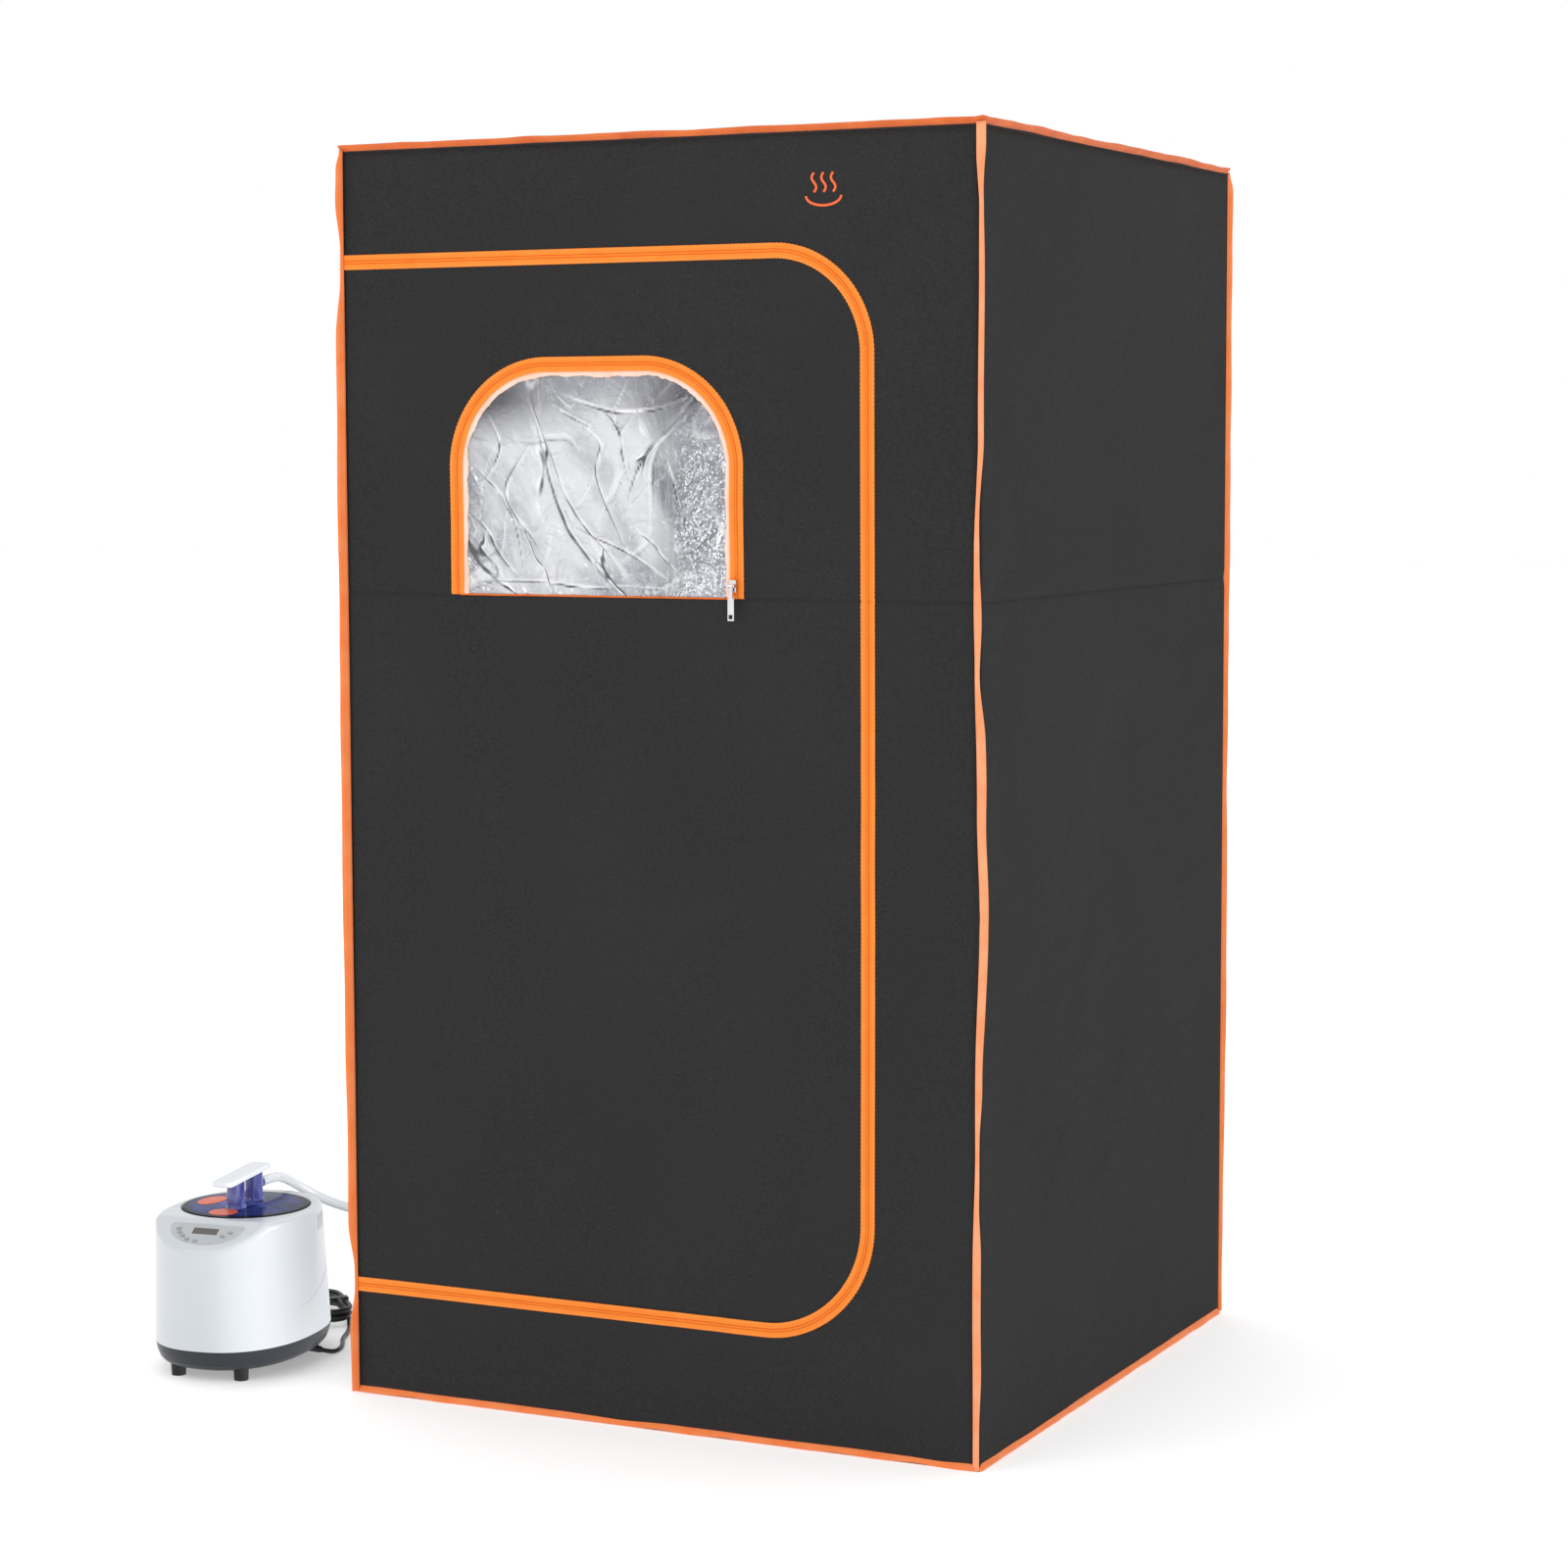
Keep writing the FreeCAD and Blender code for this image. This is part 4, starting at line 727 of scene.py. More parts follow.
def wall_lift(seed):
    """Relief of one wall: it hangs in between its edges, with slow folds, bias wrinkles and a sewn seam."""
    def lift(u, v):
        fade = ease(min(HALF - abs(u), v, HEIGHT - v) / EDGE_FADE)
        sag = -SAG * math.cos(math.pi * u / 2 / HALF) * math.sin(math.pi * v / HEIGHT)
        slow = SLACK * noise.noise(Vector((u * 3.1, v * 2.2, seed)))
        bias = Vector(((u - 0.55 * v) * 15, (u * 0.5 + v) * 3.4, seed + 7))
        patch = ease(noise.noise(Vector((u * 4, v * 3, seed + 3))) + 0.5)
        fine = CREASE * (abs(noise.noise(bias)) * 2 - 0.5) * patch
        gap = abs(v - SEAM_Z)
        pucker = PUCKER_RISE * (1 - ease(abs(gap - PUCKER_OFF) / PUCKER_OFF))
        return fade * (sag + slow + fine) - (SEAM_DEPTH * (1 - ease(gap / SEAM_HALF)) - pucker)
    return lift


def front(u, v, out):
    return Vector((u, -HALF - out, v))


FRONT_LIFT = wall_lift(1.7)
OUTWARD = Vector((0, -1, 0))
ZIP_GAP = 0.0005          # between the cloth's cut edge and the zip's middle line
STEP = 0.011              # between the points of the cloth


def on_front(at):
    """Point on the front wall's cloth at a flat (x, z) point."""
    return front(at.x, at.y, FRONT_LIFT(at.x, at.y))


def wall_slack(u, v):
    """The lining is free between the poles, and held at the panel's edges."""
    return ease((min(INNER - abs(u), v, HEIGHT - v) - 0.025) / 0.06)


def run(a, b, step=STEP):
    """Points from a towards b, without b."""
    count = max(1, round(math.dist(a, b) / step))
    return [(a[0] + (b[0] - a[0]) * i / count, a[1] + (b[1] - a[1]) * i / count) for i in range(count)]


def rectangle(u0, u1, v0, v1, step):
    """Outline of a rectangle."""
    corners = [(u0, v0), (u1, v0), (u1, v1), (u0, v1), (u0, v0)]
    return [p for a, b in zip(corners, corners[1:]) for p in run(a, b, step)]


LOW = CLOTH               # the walls stand between the floor's and the roof's cloth
HIGH = HEIGHT - CLOTH


def front_outline():
    """The front panel runs round the door, which is cut in from its left edge."""
    door = [tuple(p) for p in reversed(door_line(ZIP_GAP, STEP))]
    corners = [door[-1], (-INNER, HIGH), (INNER, HIGH), (INNER, LOW), (-INNER, LOW), door[0]]
    loop = [p for a, b in zip(corners, corners[1:]) for p in run(a, b)]
    return loop + door[:-1]


front_cloth = sheet("front_cloth", front_outline(), [], front, FRONT_LIFT, STEP, [SEAM_Z])
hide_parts("front_panel")

door_edge = [tuple(p) for p in door_line(-ZIP_GAP, STEP)]
door_edge += run(door_edge[-1], door_edge[0])[1:]
door_cloth = sheet("door_cloth", door_edge, [[tuple(p) for p in window_line(ZIP_GAP, STEP)]], front,
                   FRONT_LIFT, STEP, [SEAM_Z], body="door")
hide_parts("door_panel")


def plain_wall(name, node_name, place, seed, half, holes=()):
    """One plain wall of the cabin."""
    made = sheet(name, rectangle(-half, half, LOW, HIGH, STEP), list(holes), place, wall_lift(seed),
                 STEP, [SEAM_Z], wall_slack)
    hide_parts(node_name)
    return made


PORT_Y = -0.110
PORT_Z = 0.140
PORT_HOLE = 0.0172
port_hole = [(PORT_Y + PORT_HOLE * math.cos(a), PORT_Z + PORT_HOLE * math.sin(a))
             for a in np.linspace(0, 2 * math.pi, 24, endpoint=False)]
right_cloth = plain_wall("right_cloth", "right_panel",
                         lambda u, v, o: Vector((HALF + o, u, v)), 5.2, HALF)
left_cloth = plain_wall("left_cloth", "left_panel",
                        lambda u, v, o: Vector((-HALF - o, u, v)), 9.1, HALF, [port_hole])
back_cloth = plain_wall("back_cloth", "back_panel",
                        lambda u, v, o: Vector((u, HALF + o, v)), 13.4, INNER)


def roof_lift(u, v):
    """The roof hangs in a little between the rails."""
    fade = ease(min(HALF - abs(u), HALF - abs(v)) / EDGE_FADE)
    slow = SLACK * noise.noise(Vector((u * 3.3, v * 3.3, 21.0)))
    return fade * (slow - SAG * math.cos(math.pi * u / 2 / HALF) * math.cos(math.pi * v / 2 / HALF))


FLOOR_STEP = 0.02
roof_cloth = sheet("roof_cloth", rectangle(-HALF, HALF, -HALF, HALF, STEP), [],
                   lambda u, v, o: Vector((u, v, HEIGHT + o)), roof_lift, STEP)
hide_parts("roof_panel")
floor_cloth = sheet("floor_cloth", rectangle(-HALF, HALF, -HALF, HALF, FLOOR_STEP), [],
                    lambda u, v, o: Vector((u, v, -o)), lambda u, v: 0.0, FLOOR_STEP)
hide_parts("floor_panel")


# =====================================================================  zips

# Half of a zip's section, from its middle: coil, stitched line, inner tape, groove, folded outer tape.
ZIP_PROFILE = [(0.0, 0.0), (0.0, 0.0016), (0.0011, 0.0021), (0.0014, 0.0013), (0.0025, 0.0015),
               (0.0042, 0.0017), (0.0047, 0.0011), (0.0052, 0.0016), (0.0066, 0.0019), (0.0080, 0.0015),
               (0.0088, 0.0010), (0.0089, 0.0)]
ZIP_BANDS = [1, 1, 2, 2, 1, 1, 0, 0, 0, 0, 0, 0]
WINDOW_ZIP_OUT = 0.0022    # how far outside the film's edge the window zip's middle runs
ZIP_STEP = 0.0016
ZIP_PAST_EDGE = 0.0035     # the fixed tape wraps round the cabin's left edge


TOOTH_PROUD = 0.0005       # every other tooth of the coil stands this much higher
TOOTH_LOW = 0.0003         # and the ones between them this much lower
TAPE_WAVE = 0.00035        # of the outer tape's free edge


def zip_side(name, line, sign, node_name, body):
    """One side of a zip along its middle line; sign +1 is the left-hand side of the line's travel."""
    def frame_at(i):
        ahead = heading(line, i)
        origin = on_front(line[i])
        origin.y += 2.0 * max(0.0, -HALF - line[i].x)        # turns back round the cabin's edge
        return origin, Vector((-ahead.y * sign, 0, ahead.x * sign)), OUTWARD

    def shift(i, k):
        if k == 2:
            return 0.0, TOOTH_PROUD if i % 2 else -TOOTH_LOW
        return (TAPE_WAVE * math.sin(i * 2.1), 0.0) if k in (10, 11) else (0.0, 0.0)

    made = ribbon(name, line, frame_at, ZIP_PROFILE, [TAPE, TAPE_MID, TAPE_DEEP], ZIP_BANDS, shift,
                  body=body, finish="zip_tape")
    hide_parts(node_name)
    return made


door_middle = door_line(0.0, ZIP_STEP, -HALF - ZIP_PAST_EDGE)
window_middle = window_line(WINDOW_ZIP_OUT, ZIP_STEP)
zip_side("door_zip_outer", door_middle, 1, "door_zip_fixed_tape", "root")
zip_side("door_zip_inner", [p for p in door_middle if p.x > -HALF], -1, "door_zip_moving_tape", "door")
zip_side("window_zip_outer", window_middle, 1, "window_zip_fixed_tape", "door")
zip_side("window_zip_inner", window_middle, -1, "window_zip_moving_tape", "window_flap")


# =====================================================================  window film

FILM_THICK = 0.001
FILM_STEP = 0.0024
FILM_GAP = 0.0004          # between the film's edge and the zip's line
FILM_BEHIND = 0.0012       # how far the film lies behind the cloth's face
# The drawn creases: each is a line of (x, z) points in millimetres, then its height and half width in
# hundredths of a millimetre.
CREASES = [
    ([(-150, 1205), (-142, 1150), (-120, 1090), (-95, 1055), (-62, 1020), (-40, 998)], 550, 520),
    ([(-136, 1180), (-122, 1130), (-92, 1085), (-55, 1050), (-30, 1015)], 450, 440),
    ([(-163, 1175), (-178, 1150), (-194, 1128), (-190, 1100), (-160, 1070), (-145, 1046)], 500, 500),
    ([(-250, 1100), (-225, 1080), (-205, 1040), (-180, 1020)], 450, 460),
    ([(-245, 1070), (-222, 1048), (-200, 1015)], 350, 360),
    ([(-85, 1195), (-60, 1178), (-68, 1160), (-69, 1130), (-50, 1090), (-38, 1060)], 500, 460),
    ([(-66, 1222), (-38, 1195), (-40, 1165), (-28, 1135)], 420, 400),
    ([(-130, 1222), (-100, 1205), (-75, 1195)], 350, 320),
    ([(-120, 1235), (-80, 1222), (-40, 1212), (10, 1216), (60, 1232)], 420, 500),
    ([(68, 1228), (30, 1196), (-4, 1168), (-22, 1136), (-28, 1112)], 600, 500),
    ([(-100, 1080), (-60, 1062), (-20, 1045), (20, 1018)], 340, 400),
    ([(-235, 1014), (-150, 1016), (-90, 1006), (-20, 1010), (40, 1004)], 340, 420),
    ([(18, 1160), (30, 1125), (40, 1092)], 340, 360),
    ([(-215, 1205), (-198, 1180), (-206, 1150), (-228, 1128)], 360, 420),
    ([(-20, 1075), (4, 1062), (18, 1040), (40, 1022)], 360, 360),
    ([(-238, 1150), (-210, 1128), (-180, 1080), (-172, 1030)], 360, 360),
]


def drawn_crease(points, line):
    """Distance from a drawn crease, signed by its side, and share of its length, at (x, z) points."""
    knots = [(x / 1000, 0.0, z / 1000) for x, z in line]
    smooth = np.array([(p.x, p.z) for p in line_points(knots, 8)])
    best = np.full(len(points), 1.0)
    share = np.zeros(len(points))
    for i, (start, end) in enumerate(zip(smooth, smooth[1:])):
        d = end - start
        t = np.clip(((points - start) @ d) / max(d @ d, 1e-12), 0, 1)
        away = points - start - t[:, None] * d
        gap = np.linalg.norm(away, axis=1) * np.where(d[0] * away[:, 1] - d[1] * away[:, 0] > 0, 1, -1)
        closer = np.abs(gap) < np.abs(best)
        best[closer] = gap[closer]
        share[closer] = (i + t[closer]) / (len(smooth) - 1)
    return best, share


# Two layers of finer creases from noise: rate, height, weight of their painted highlight and shade lines, and
# seed.
FINE_CREASES = ((7.0, 0.0030, 0.75, 3.0), (15.0, 0.0014, 0.6, 17.0))


def crease_field(points):
    """Height of the film's creases, with the painted highlight line along each and the painted shade line
    beside it, at (x, z) points.
    """
    height = np.zeros(len(points))
    sharp = np.zeros(len(points))
    shade = np.zeros(len(points))
    for k, (line, tall, wide) in enumerate(CREASES):
        tall, wide = tall / 100000, wide / 100000
        best, share = drawn_crease(points, line)
        taper = np.sin(np.pi * np.clip(share, 0.03, 0.97)) ** 0.5
        flicker = np.array([0.65 + 0.9 * noise.noise(Vector((t * 7, k * 3.7, 1.0))) for t in share])
        thin = wide * (0.24 + 0.16 * flicker)
        # painted highlight along each crease, and painted shade in a line beside it
        bright = taper * np.clip(flicker, 0, 1) * np.exp(-(best / thin) ** 2)
        dark = taper * np.clip(1.5 - flicker, 0, 1) * np.exp(-((best + wide * 0.5) / (wide * 0.28)) ** 2)
        height += (1 if k % 3 else -0.7) * tall * taper * np.exp(-(best / wide) ** 2)
        sharp = np.maximum(sharp, bright)
        shade = np.maximum(shade, dark)
    for rate, tall, weight, seed in FINE_CREASES:
        for i, (x, z) in enumerate(points):
            wander = 0.05 * noise.noise(Vector((x * 9, z * 9, seed)))
            along, across = x * 0.45 + z * 0.9 + wander, x * 0.9 - z * 0.45 + wander
            value = noise.noise(Vector((across * rate * 1.7, along * rate * 0.6, seed + 1)))
            mask = ease(noise.noise(Vector((x * 11, z * 11, seed + 5))) * 2.4 + 0.35)
            height[i] += tall * mask * (1 - min(1.0, abs(value) * 4))
            # painted highlight and painted shade lines of the finer creases
            sharp[i] = max(sharp[i], weight * mask * max(0.0, 1 - abs(value) / 0.035))
            shade[i] = max(shade[i], weight * mask * max(0.0, 1 - abs(value - 0.06) / 0.022))
    return height, sharp, shade


film_edge = [tuple(p) for p in window_line(-FILM_GAP, FILM_STEP, WINDOW_LOW + FILM_GAP)]
film_flat, film_triangles = fill(film_edge, [], FILM_STEP)
film_height, film_highlight, film_shade = crease_field(film_flat)


def window_inset(u, v):
    """How far a point lies inside the window's outline, which has two rounded top corners."""
    across, down = min(u - WINDOW_LEFT, WINDOW_RIGHT - u), WINDOW_TOP - v
    if across < WINDOW_RADIUS and down < WINDOW_RADIUS:
        rounded = WINDOW_RADIUS - math.hypot(WINDOW_RADIUS - across, WINDOW_RADIUS - down)
        return min(rounded, v - WINDOW_LOW)
    return min(across, down, v - WINDOW_LOW)


def film_lift(u, v):
    """The film hangs slack in its zip, in slow folds."""
    fade = ease((window_inset(u, v) - 0.010) / 0.03)
    at = Vector((u * 13 + v * 6, v * 9, 4.0))
    slack = 0.0045 * noise.noise(at) + 0.003 * abs(noise.noise(at * 2.3)) - 0.001
    return FRONT_LIFT(u, v) + fade * slack - FILM_BEHIND


def ramp(values, start, end, least=0.0):
    """Share of the way from start to end, from least to 1."""
    return np.clip((values - start) / (end - start), least, 1)


def film_piece():
    """The film, with its creases as relief, and attributes for its painted crease highlights, painted shade,
    painted reflection and beads.
    """
    outer, inner = [], []
    for (u, v), bump in zip(film_flat, film_height):
        h = film_lift(u, v) + bump * ease((window_inset(u, v) - 0.013) / 0.02)
        outer.append(front(u, v, h))
        inner.append(front(u, v, h - FILM_THICK))
    faces, _ = skin(outer, inner, film_triangles)
    made = piece("window_sheet", outer + inner, faces, [FILM], "clear_film", body="window_flap")
    x, z = film_flat[:, 0], film_flat[:, 1]
    # the film lies darker towards its rounded corners, where less of the lining is lit
    aside = ramp(np.abs(x - (WINDOW_LEFT + WINDOW_RIGHT) / 2), 0.013, 0.143)
    dim = 0.80 * ramp(z, 1.165, 1.225) * (0.2 + 0.8 * aside) * (1 - film_highlight)
    layers = {
        # painted highlight lines along the creases
        "crease": film_highlight,
        "shade": np.maximum(film_shade, dim),
        # where painted reflection lies: most over the film's left and lower parts
        "painted_reflection": ramp(x, 0.060, -0.010, 0.12) * ramp(z, 1.262, 1.212, 0.15),
        "damp": ramp(x, 0.015, 0.055) * ramp(z, 1.205, 1.175),           # beads of steam on its right part
    }
    for layer_name, values in layers.items():
        layer = made.data.attributes.new(layer_name, "FLOAT", "POINT")
        layer.data.foreach_set("value", np.concatenate([values, values]).astype(np.float32))
    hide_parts("window_film")
    return made


window_sheet = film_piece()

# The pale hem of the film inside the zip, with a wavy inner edge.
HEM_PROFILE = [(0.0058, -0.0010), (0.0058, 0.0008), (0.0112, 0.0006), (0.0125, -0.0002), (0.0125, -0.0010)]
window_hem_line = window_line(0.0, 0.003)


def hem_frame(i):
    ahead = heading(window_hem_line, i)
    return on_front(window_hem_line[i]), Vector((ahead.y, 0, -ahead.x)), OUTWARD


def hem_wave(i, k):
    slow, quick = noise.noise(Vector((i * 0.09, 3.0, 0))), noise.noise(Vector((i * 0.45, 8.0, 0)))
    return (0.0040 * slow + 0.0014 * quick, 0.0) if k in (2, 3, 4) else (0.0, 0.0)


ribbon("window_hem", window_hem_line, hem_frame, HEM_PROFILE, [PEACH], shift=hem_wave,
       body="window_flap", finish="clear_film")

# Thin orange line where the film is sewn to the door below the window.
sill_line = [Vector((x, WINDOW_LOW)) for x in np.arange(WINDOW_LEFT, WINDOW_RIGHT + 0.001, 0.004)]
SILL_PROFILE = [(-0.0010, 0.0), (-0.0008, 0.0012), (0.0008, 0.0013), (0.0012, 0.0)]


def sill_frame(i):
    here = sill_line[i]
    wave = 0.0004 * noise.noise(Vector((i * 0.2, 0, 5)))
    return front(here.x, here.y + wave, FRONT_LIFT(here.x, here.y)), Vector((0, 0, 1)), OUTWARD


ribbon("window_sill_tape", sill_line, sill_frame, SILL_PROFILE, [TAPE_DEEP], body="door", finish="zip_tape")


# =====================================================================  edge bindings

BIND_THICK = 0.0026
BIND_STEP = 0.006
BIND_ROOT = HALF - 0.0012  # the tapes' roots lie this far from the cabin's middle
LAP_PROUD = 0.0028         # most that a tape stands proud of the wall it laps over
BIND_TURN = 0.0045         # radius that the level tapes turn a corner in


# Section of a folded tape from its root outwards, sewn down near its root: shares of its width and thickness.
BIND_HALF = [(0.0, 1.0), (0.25, 0.75), (0.6, 1.1), (0.92, 0.9)]
BIND_PROFILE = ([(s, -h * BIND_THICK / 2) for s, h in BIND_HALF] + [(1.0, 0.0)]
                + [(s, h * BIND_THICK / 2) for s, h in BIND_HALF[::-1]])


def binding(name, line, normal_of, width_of, material, closed=False):
    """A folded tape along an edge. normal_of gives the direction it stands out in, and width_of its width."""
    last = len(line) - 1

    def frame_at(i):
        ahead = (line[(i + 1) % len(line)] - line[i - 1]).normalized() if closed else heading(line, i)
        out = normal_of(i / last)
        out = (out - ahead * out.dot(ahead)).normalized()
        return line[i], out, ahead.cross(out)

    def widen(i, k):
        share = BIND_PROFILE[k][0]
        return share * width_of(i / last) - share, 0.0

    return ribbon(name, line, frame_at, BIND_PROFILE, [material], shift=widen, closed=closed,
                  finish="edge_binding")


def wavy(seed, size):
    """Slow waver of an edge at a share of its length."""
    return lambda t: size * noise.noise(Vector((t * 9, seed, 0.5)))


def upright_binding(name, sx, sy, seed, lean, widths, material=BIND, lap=((0, 0.0), (1, 0.0))):
    """Binding of one upright edge. lean lists (height share, degrees from the diagonal), widths lists
    (height share, width), and lap lists (height share, how far it laps over the front or back)."""
    def pick(table, t):
        for (t0, a), (t1, b) in zip(table, table[1:]):
            if t <= t1:
                return a + (b - a) * ease((t - t0) / (t1 - t0))
        return table[-1][1]

    sway = wavy(seed, 0.0012)
    count = round(HEIGHT / BIND_STEP)
    line = []
    for i in range(count + 1):
        t = i / count
        z = CLOTH * 0.5 + t * (HEIGHT - CLOTH * 0.5)
        over = pick(lap, t)
        line.append(Vector((sx * (BIND_ROOT + sway(t) - over),
                            sy * (BIND_ROOT - sway(t) + min(over, LAP_PROUD)), z)))

    def out(t):
        angle = math.radians(45 - pick(lean, t) - 9 * noise.noise(Vector((t * 14, seed + 2, 0))))
        return Vector((sx * math.cos(angle), sy * math.sin(angle), 0))

    def width(t):
        return pick(widths, t) + 0.0010 * noise.noise(Vector((t * 20, seed + 5, 0)))

    return binding(name, line, out, width, material)


# the near edge uses the lighter, painted-highlight copy of the tape
near_edge = upright_binding(
    "near_edge_binding", 1, -1, 1.3,
    [(0, 30), (0.4, 34), (0.6, 28), (0.93, 34), (1, 36)],
    [(0, 0.0085), (0.03, 0.0085), (0.075, 0.0112), (0.16, 0.0112), (0.205, 0.0058), (0.248, 0.0045),
     (0.292, 0.0085), (0.38, 0.011), (0.55, 0.012), (0.596, 0.0058), (0.64, 0.010), (0.683, 0.0068),
     (0.726, 0.0045), (0.77, 0.0068), (0.90, 0.0068), (0.943, 0.0046), (0.985, 0.012), (1, 0.012)], BIND_PAINTED_LIT,
    [(0, 0.0065), (0.16, 0.007), (0.25, 0.0045), (0.42, 0.0), (0.50, 0.0025), (0.60, 0.005), (0.65, 0.0065),
     (0.69, 0.0065), (0.77, 0.002), (0.94, 0.002), (0.98, 0.0055), (1, 0.0055)])
upright_binding(
    "left_edge_binding", -1, -1, 4.4,
    [(0, 0), (1, 0)],
    [(0, 0.0095), (0.05, 0.011), (0.086, 0.004), (0.10, 0.004), (0.14, 0.011), (0.5, 0.012), (0.85, 0.011),
     (0.90, 0.004), (0.92, 0.004), (0.96, 0.010), (0.985, 0.009), (1, 0.004)], BIND, [(0, 0.003), (1, 0.003)])
upright_binding("far_edge_binding", 1, 1, 8.8, [(0, 0), (1, 0)],
                [(0, 0.0125), (0.3, 0.0155), (0.6, 0.015), (0.985, 0.0115), (1, 0.0065)], BIND,
                [(0, 0.006), (0.5, 0.0065), (1, 0.003)])
upright_binding("rear_edge_binding", -1, 1, 12.1, [(0, 0), (1, 0)], [(0, 0.009), (0.985, 0.009), (1, 0.004)])
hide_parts("upright_edge_bindings")


def level_binding(name, node_name, z, tilt, seed, width, material, peak=0.0):
    """Binding round the roof or the floor: one closed run of tape that turns each corner in a small arc.
    tilt is its degrees above level, and peak how far it rises at the near corner."""
    reach = BIND_ROOT - BIND_TURN
    line, sides, shares = [], [], []
    for k in range(4):
        angle = math.pi / 2 * k
        along = Vector((math.cos(angle), math.sin(angle), 0))
        side = Vector((math.sin(angle), -math.cos(angle), 0))
        sway = wavy(seed + k * 3, 0.0016)
        count = round(2 * reach / BIND_STEP)
        for i in range(count + 1):
            t = i / count
            drift = sway(t) * ease(min(t, 1 - t) / 0.06)
            line.append(side * (BIND_ROOT + 0.5 * drift) + along * reach * (2 * t - 1)
                        + Vector((0, 0, z + drift * (1 if tilt > 0 else 0.2))))
            sides.append(side)
            shares.append(k + t)
        for quarter in (0.25, 0.5, 0.75):
            out = side * math.cos(quarter * math.pi / 2) + along * math.sin(quarter * math.pi / 2)
            rise = peak * math.sin(quarter * math.pi) if k == 0 else 0.0
            line.append((side + along) * reach + out * BIND_TURN + Vector((0, 0, z + rise)))
            sides.append(out)
            shares.append(k + 1.0)
    last = len(line) - 1

    def out(t):
        i = round(t * last)
        bend = math.radians(tilt + 13 * noise.noise(Vector((shares[i] * 13, seed, 4))))
        return sides[i] * math.cos(bend) + Vector((0, 0, math.sin(bend)))

    def breadth(t):
        return width + 0.0013 * noise.noise(Vector((shares[round(t * last)] * 17, seed, 9)))

    made = binding(name, line, out, breadth, material, True)
    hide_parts(node_name)
    return made


# the roof binding uses the darker, painted-shade copy of the tape
level_binding("roof_binding", "roof_edge_bindings", HEIGHT - 0.0014, 48, 30.0, 0.009, BIND_PAINTED_SHADE, 0.0015)
level_binding("floor_binding", "floor_edge_bindings", 0.0078, -56, 50.0, 0.0082, BIND)


# =====================================================================  small parts

LABEL_LAP = 0.0001         # into the lid's surface
LABEL_THICK = 0.0005
LABEL_SIDES = 48
LABEL_RINGS = [(1.0, 0.0), (1.0, 0.55), (0.975, 0.9), (0.93, 1.0), (0.6, 1.0), (0.25, 1.0)]


def lid_label(name, centre, half_x, half_y):
    """Oval label with a rounded rim on the lid's crowned top."""
    points = []
    for share, rise in LABEL_RINGS:
        for k in range(LABEL_SIDES):
            angle = 2 * math.pi * k / LABEL_SIDES
            x = centre[0] + half_x * share * math.cos(angle)
            y = centre[1] + half_y * share * math.sin(angle)
            crown = LID_CROWN * (1 - math.hypot(x, y - LID_MIDDLE) / LID_RADIUS)
            points.append(STEAMER @ Vector((x, y, LID_EDGE_Z + crown - LABEL_LAP + LABEL_THICK * rise)))
    piece(name, points, loft(len(LABEL_RINGS), LABEL_SIDES), [STICKER], "edge_binding", body="lid")


lid_label("front_label", (-0.003, -0.046), 0.019, 0.017)
lid_label("side_label", (-0.050, 0.014), 0.017, 0.026)

HANDLE_HALF = (0.0155, 0.0590)
HANDLE_ROUND = 0.009       # corner radius seen from above
HANDLE_SOFT = 0.0019       # radius along its edges
HANDLE_THICK = 0.0062
HANDLE_CROWN = 0.0005
HANDLE_TIP = 0.0008        # smallest corner radius, at the middle of its top
HANDLE_SEAT = STEAMER @ Matrix.Translation((0, -0.0005, 0.2446)) @ Matrix.Rotation(math.radians(2.7), 4, "X")


def handle_piece():
    """Flat handle across both columns: a rounded slab with soft edges and a slightly crowned top."""
    points = []
    half_x, half_y = HANDLE_HALF
    corners = [(sx * (half_x - HANDLE_ROUND), sy * (half_y - HANDLE_ROUND), start)
               for sx, sy, start in ((1, 1, 0), (-1, 1, 90), (-1, -1, 180), (1, -1, 270))]
    fan = [math.radians(10 * i) for i in range(10)]
    soft = [math.radians(18 * i) for i in range(6)]
    rings = [(HANDLE_SOFT * (1 - math.cos(a)), -HANDLE_THICK + HANDLE_SOFT * (1 - math.sin(a)))
             for a in soft[::-1]]
    rings += [(HANDLE_SOFT * (1 - math.cos(a)), -HANDLE_SOFT * (1 - math.sin(a))) for a in soft]
    rings += [(0.0045, HANDLE_CROWN * 0.5), (0.0075, HANDLE_CROWN)]
    for inset, z in rings:
        for x, y, start in corners:
            for a in fan:
                turn = math.radians(start) + a
                reach = max(HANDLE_ROUND - inset, HANDLE_TIP)
                at = Vector((x + reach * math.cos(turn), y + reach * math.sin(turn), z))
                points.append(HANDLE_SEAT @ at)
    faces = loft(len(rings), len(corners) * len(fan))
    made = piece("handle_bar", points, faces, [HANDLE_WHITE], "handle_white", body="lid")
    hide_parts("lid_handle")
    return made


handle_bar = handle_piece()

# Small generic mark at the front's upper right: three strokes of rising steam over a bowl.
MARK_X = 0.225
MARK_Z = 1.465
STROKE_PROFILE = [(-0.0015, 0.0), (-0.0013, 0.0003), (0.0013, 0.0003), (0.0015, 0.0)]


def stroke(name, line):
    """One printed stroke along a line of (x, z) points."""
    def frame_at(i):
        ahead = heading(line, i)
        return on_front(line[i]), Vector((-ahead.y, 0, ahead.x)), OUTWARD

    ribbon(name, line, frame_at, STROKE_PROFILE, [PRINT], finish="edge_binding")


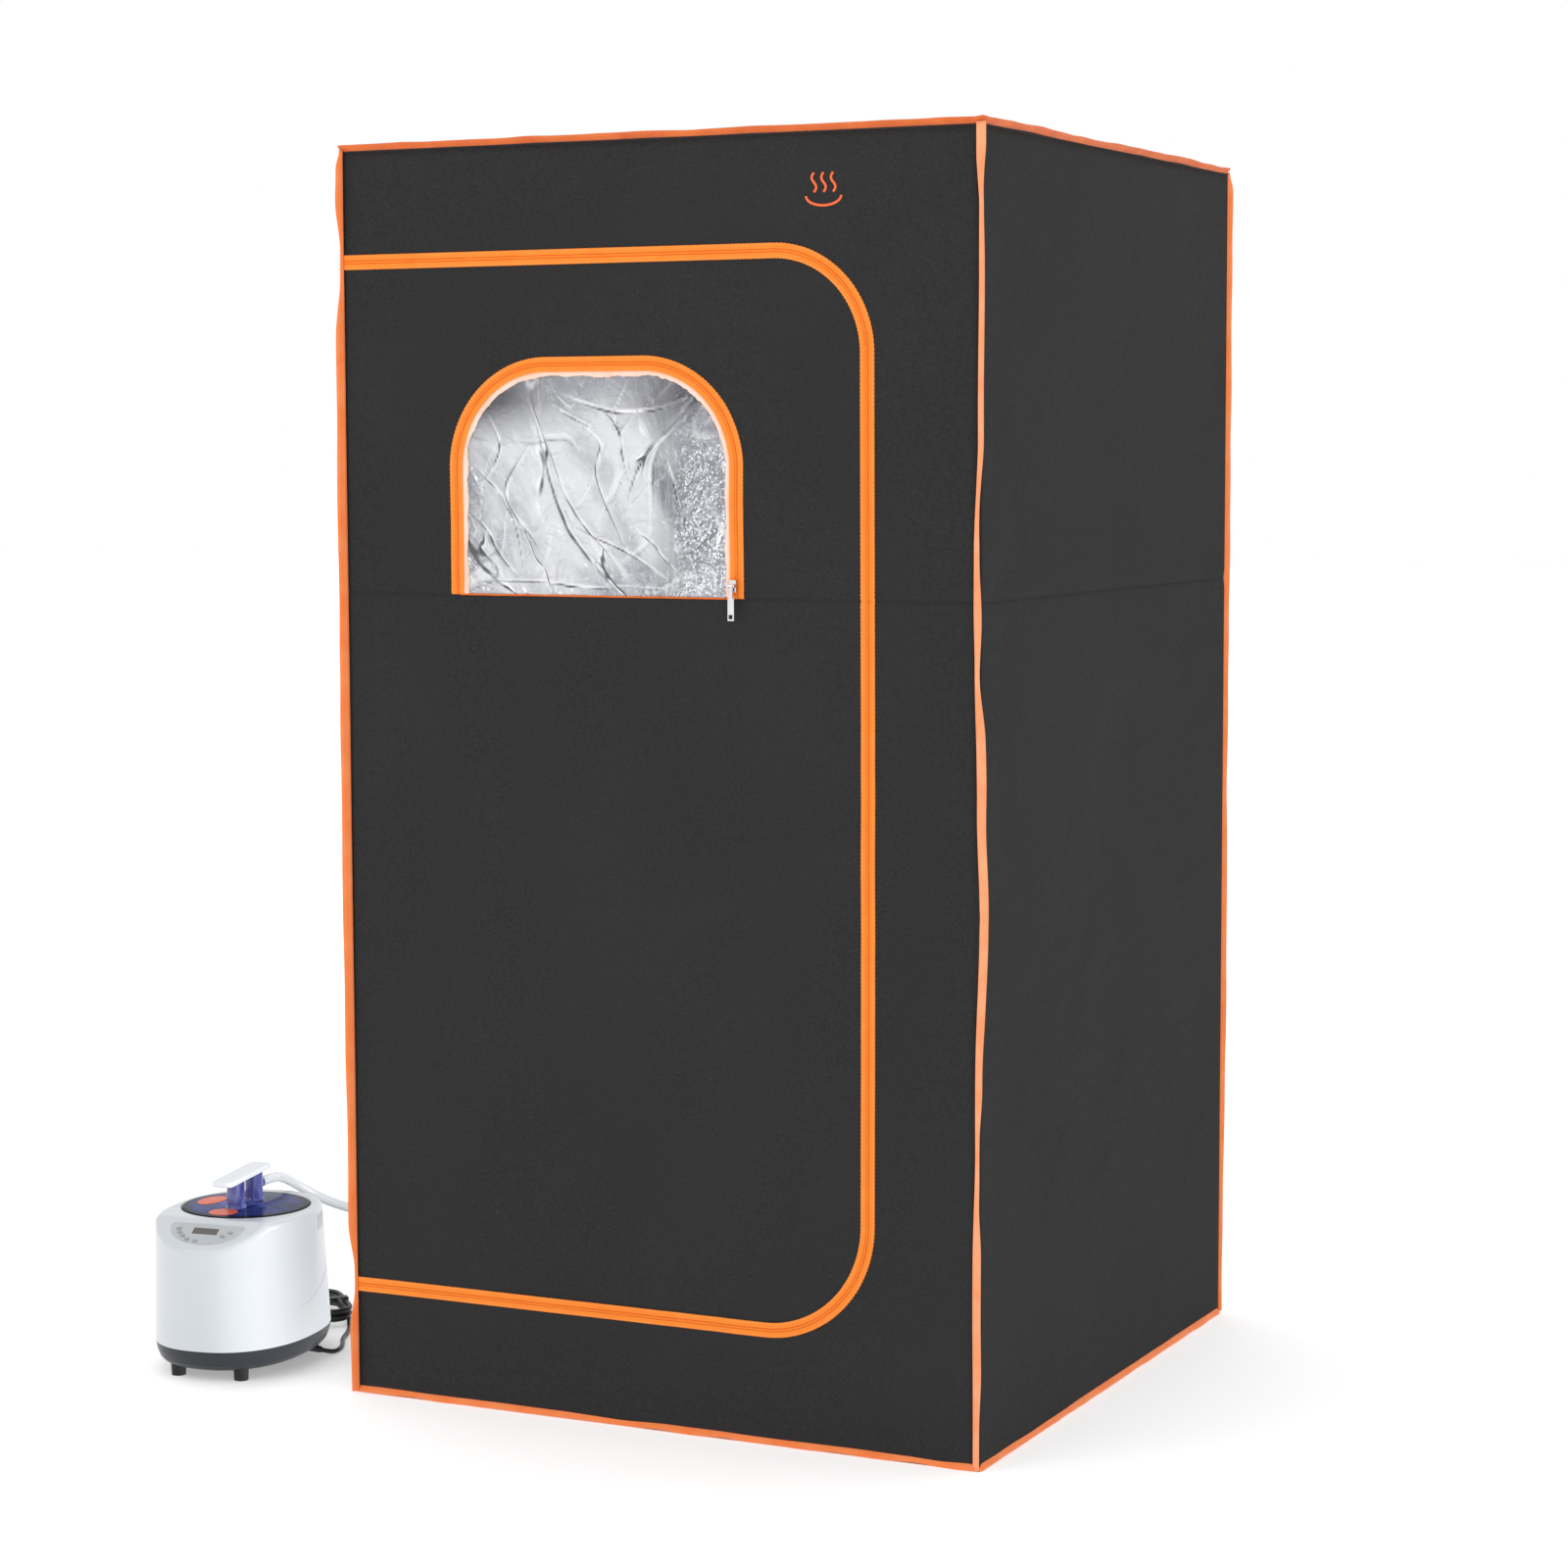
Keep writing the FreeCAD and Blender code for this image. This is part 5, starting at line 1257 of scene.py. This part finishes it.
for k in range(3):
    stroke(f"mark_steam_{k + 1}", [
        Vector((MARK_X + (k - 1) * 0.012 + 0.0028 * math.sin(t * 2 * math.pi), MARK_Z - 0.006 + 0.022 * t))
        for t in np.linspace(0, 1, 24)])
stroke("mark_bowl", [
    Vector((MARK_X - 0.022 * math.cos(a), MARK_Z - 0.010 - 0.011 * math.sin(a)))
    for a in np.linspace(0, math.pi, 30)])


# =====================================================================  stage and light

floor_mesh = bpy.data.meshes.new("studio_floor")
FLOOR = 30.0
floor_mesh.from_pydata([(-FLOOR, -FLOOR, 0), (FLOOR, -FLOOR, 0), (FLOOR, FLOOR, 0), (-FLOOR, FLOOR, 0)], [],
                       [(0, 1, 2, 3)])
studio_floor = add("studio_floor", floor_mesh)
paper = Finish("studio_floor", Roughness=0.9, Specular_IOR_Level=0.1, Emission_Color=rgba(1, 1, 1),
               Emission_Strength=0.32)
paper.set("Base Color", paper.mix(paper.noise(2, 2), rgba(0.93, 0.93, 0.93), rgba(0.95, 0.95, 0.95)))
floor_mesh.materials.append(paper.material)

world = bpy.data.worlds.new("studio")
world.use_nodes = True
background = world.node_tree.nodes["Background"]
background.inputs["Color"].default_value = (1, 1, 1, 1)
background.inputs["Strength"].default_value = 1.0
bpy.context.scene.world = world


def lamp(name, place, aim, size, power):
    """A soft square light that the camera doesn't see."""
    data = bpy.data.lights.new(name, "AREA")
    data.size = size
    data.energy = power
    made = add(name, data)
    made.location = place
    made.rotation_mode = "QUATERNION"
    made.rotation_quaternion = (Vector(aim) - Vector(place)).to_track_quat("-Z", "Y")
    made.visible_camera = False
    return made


lamp("key", (-1.9, -3.4, 3.0), (-0.1, 0, 0.9), 0.8, 10)
lamp("strip", (2.4, -3.6, 1.9), (-0.2, 0, 0.9), 0.7, 5)
lamp("cabin_light", (0.05, -0.10, 0.62), (-0.2, 0.42, 0.95), 0.36, 3.0)

# Soft light from the right that reaches the steam generator only, past the cabin.
steamer_fill = lamp("steamer_fill", (2.33, 0.19, 0.7), (-0.62, -0.34, 0.12), 1.2, 88)
steamer_fill.data.use_shadow = False
lit = bpy.data.collections.new("steam_generator_light")
for name in ("steamer_casing", "steamer_base", "steamer_feet", "steam_outlet_column",
             "valve_column", "control_panel"):
    lit.objects.link(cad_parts[name])
lit.objects.link(hose)
lit.objects.link(handle_bar)
steamer_fill.light_linking.receiver_collection = lit

bpy.context.scene.view_settings.view_transform = "Standard"
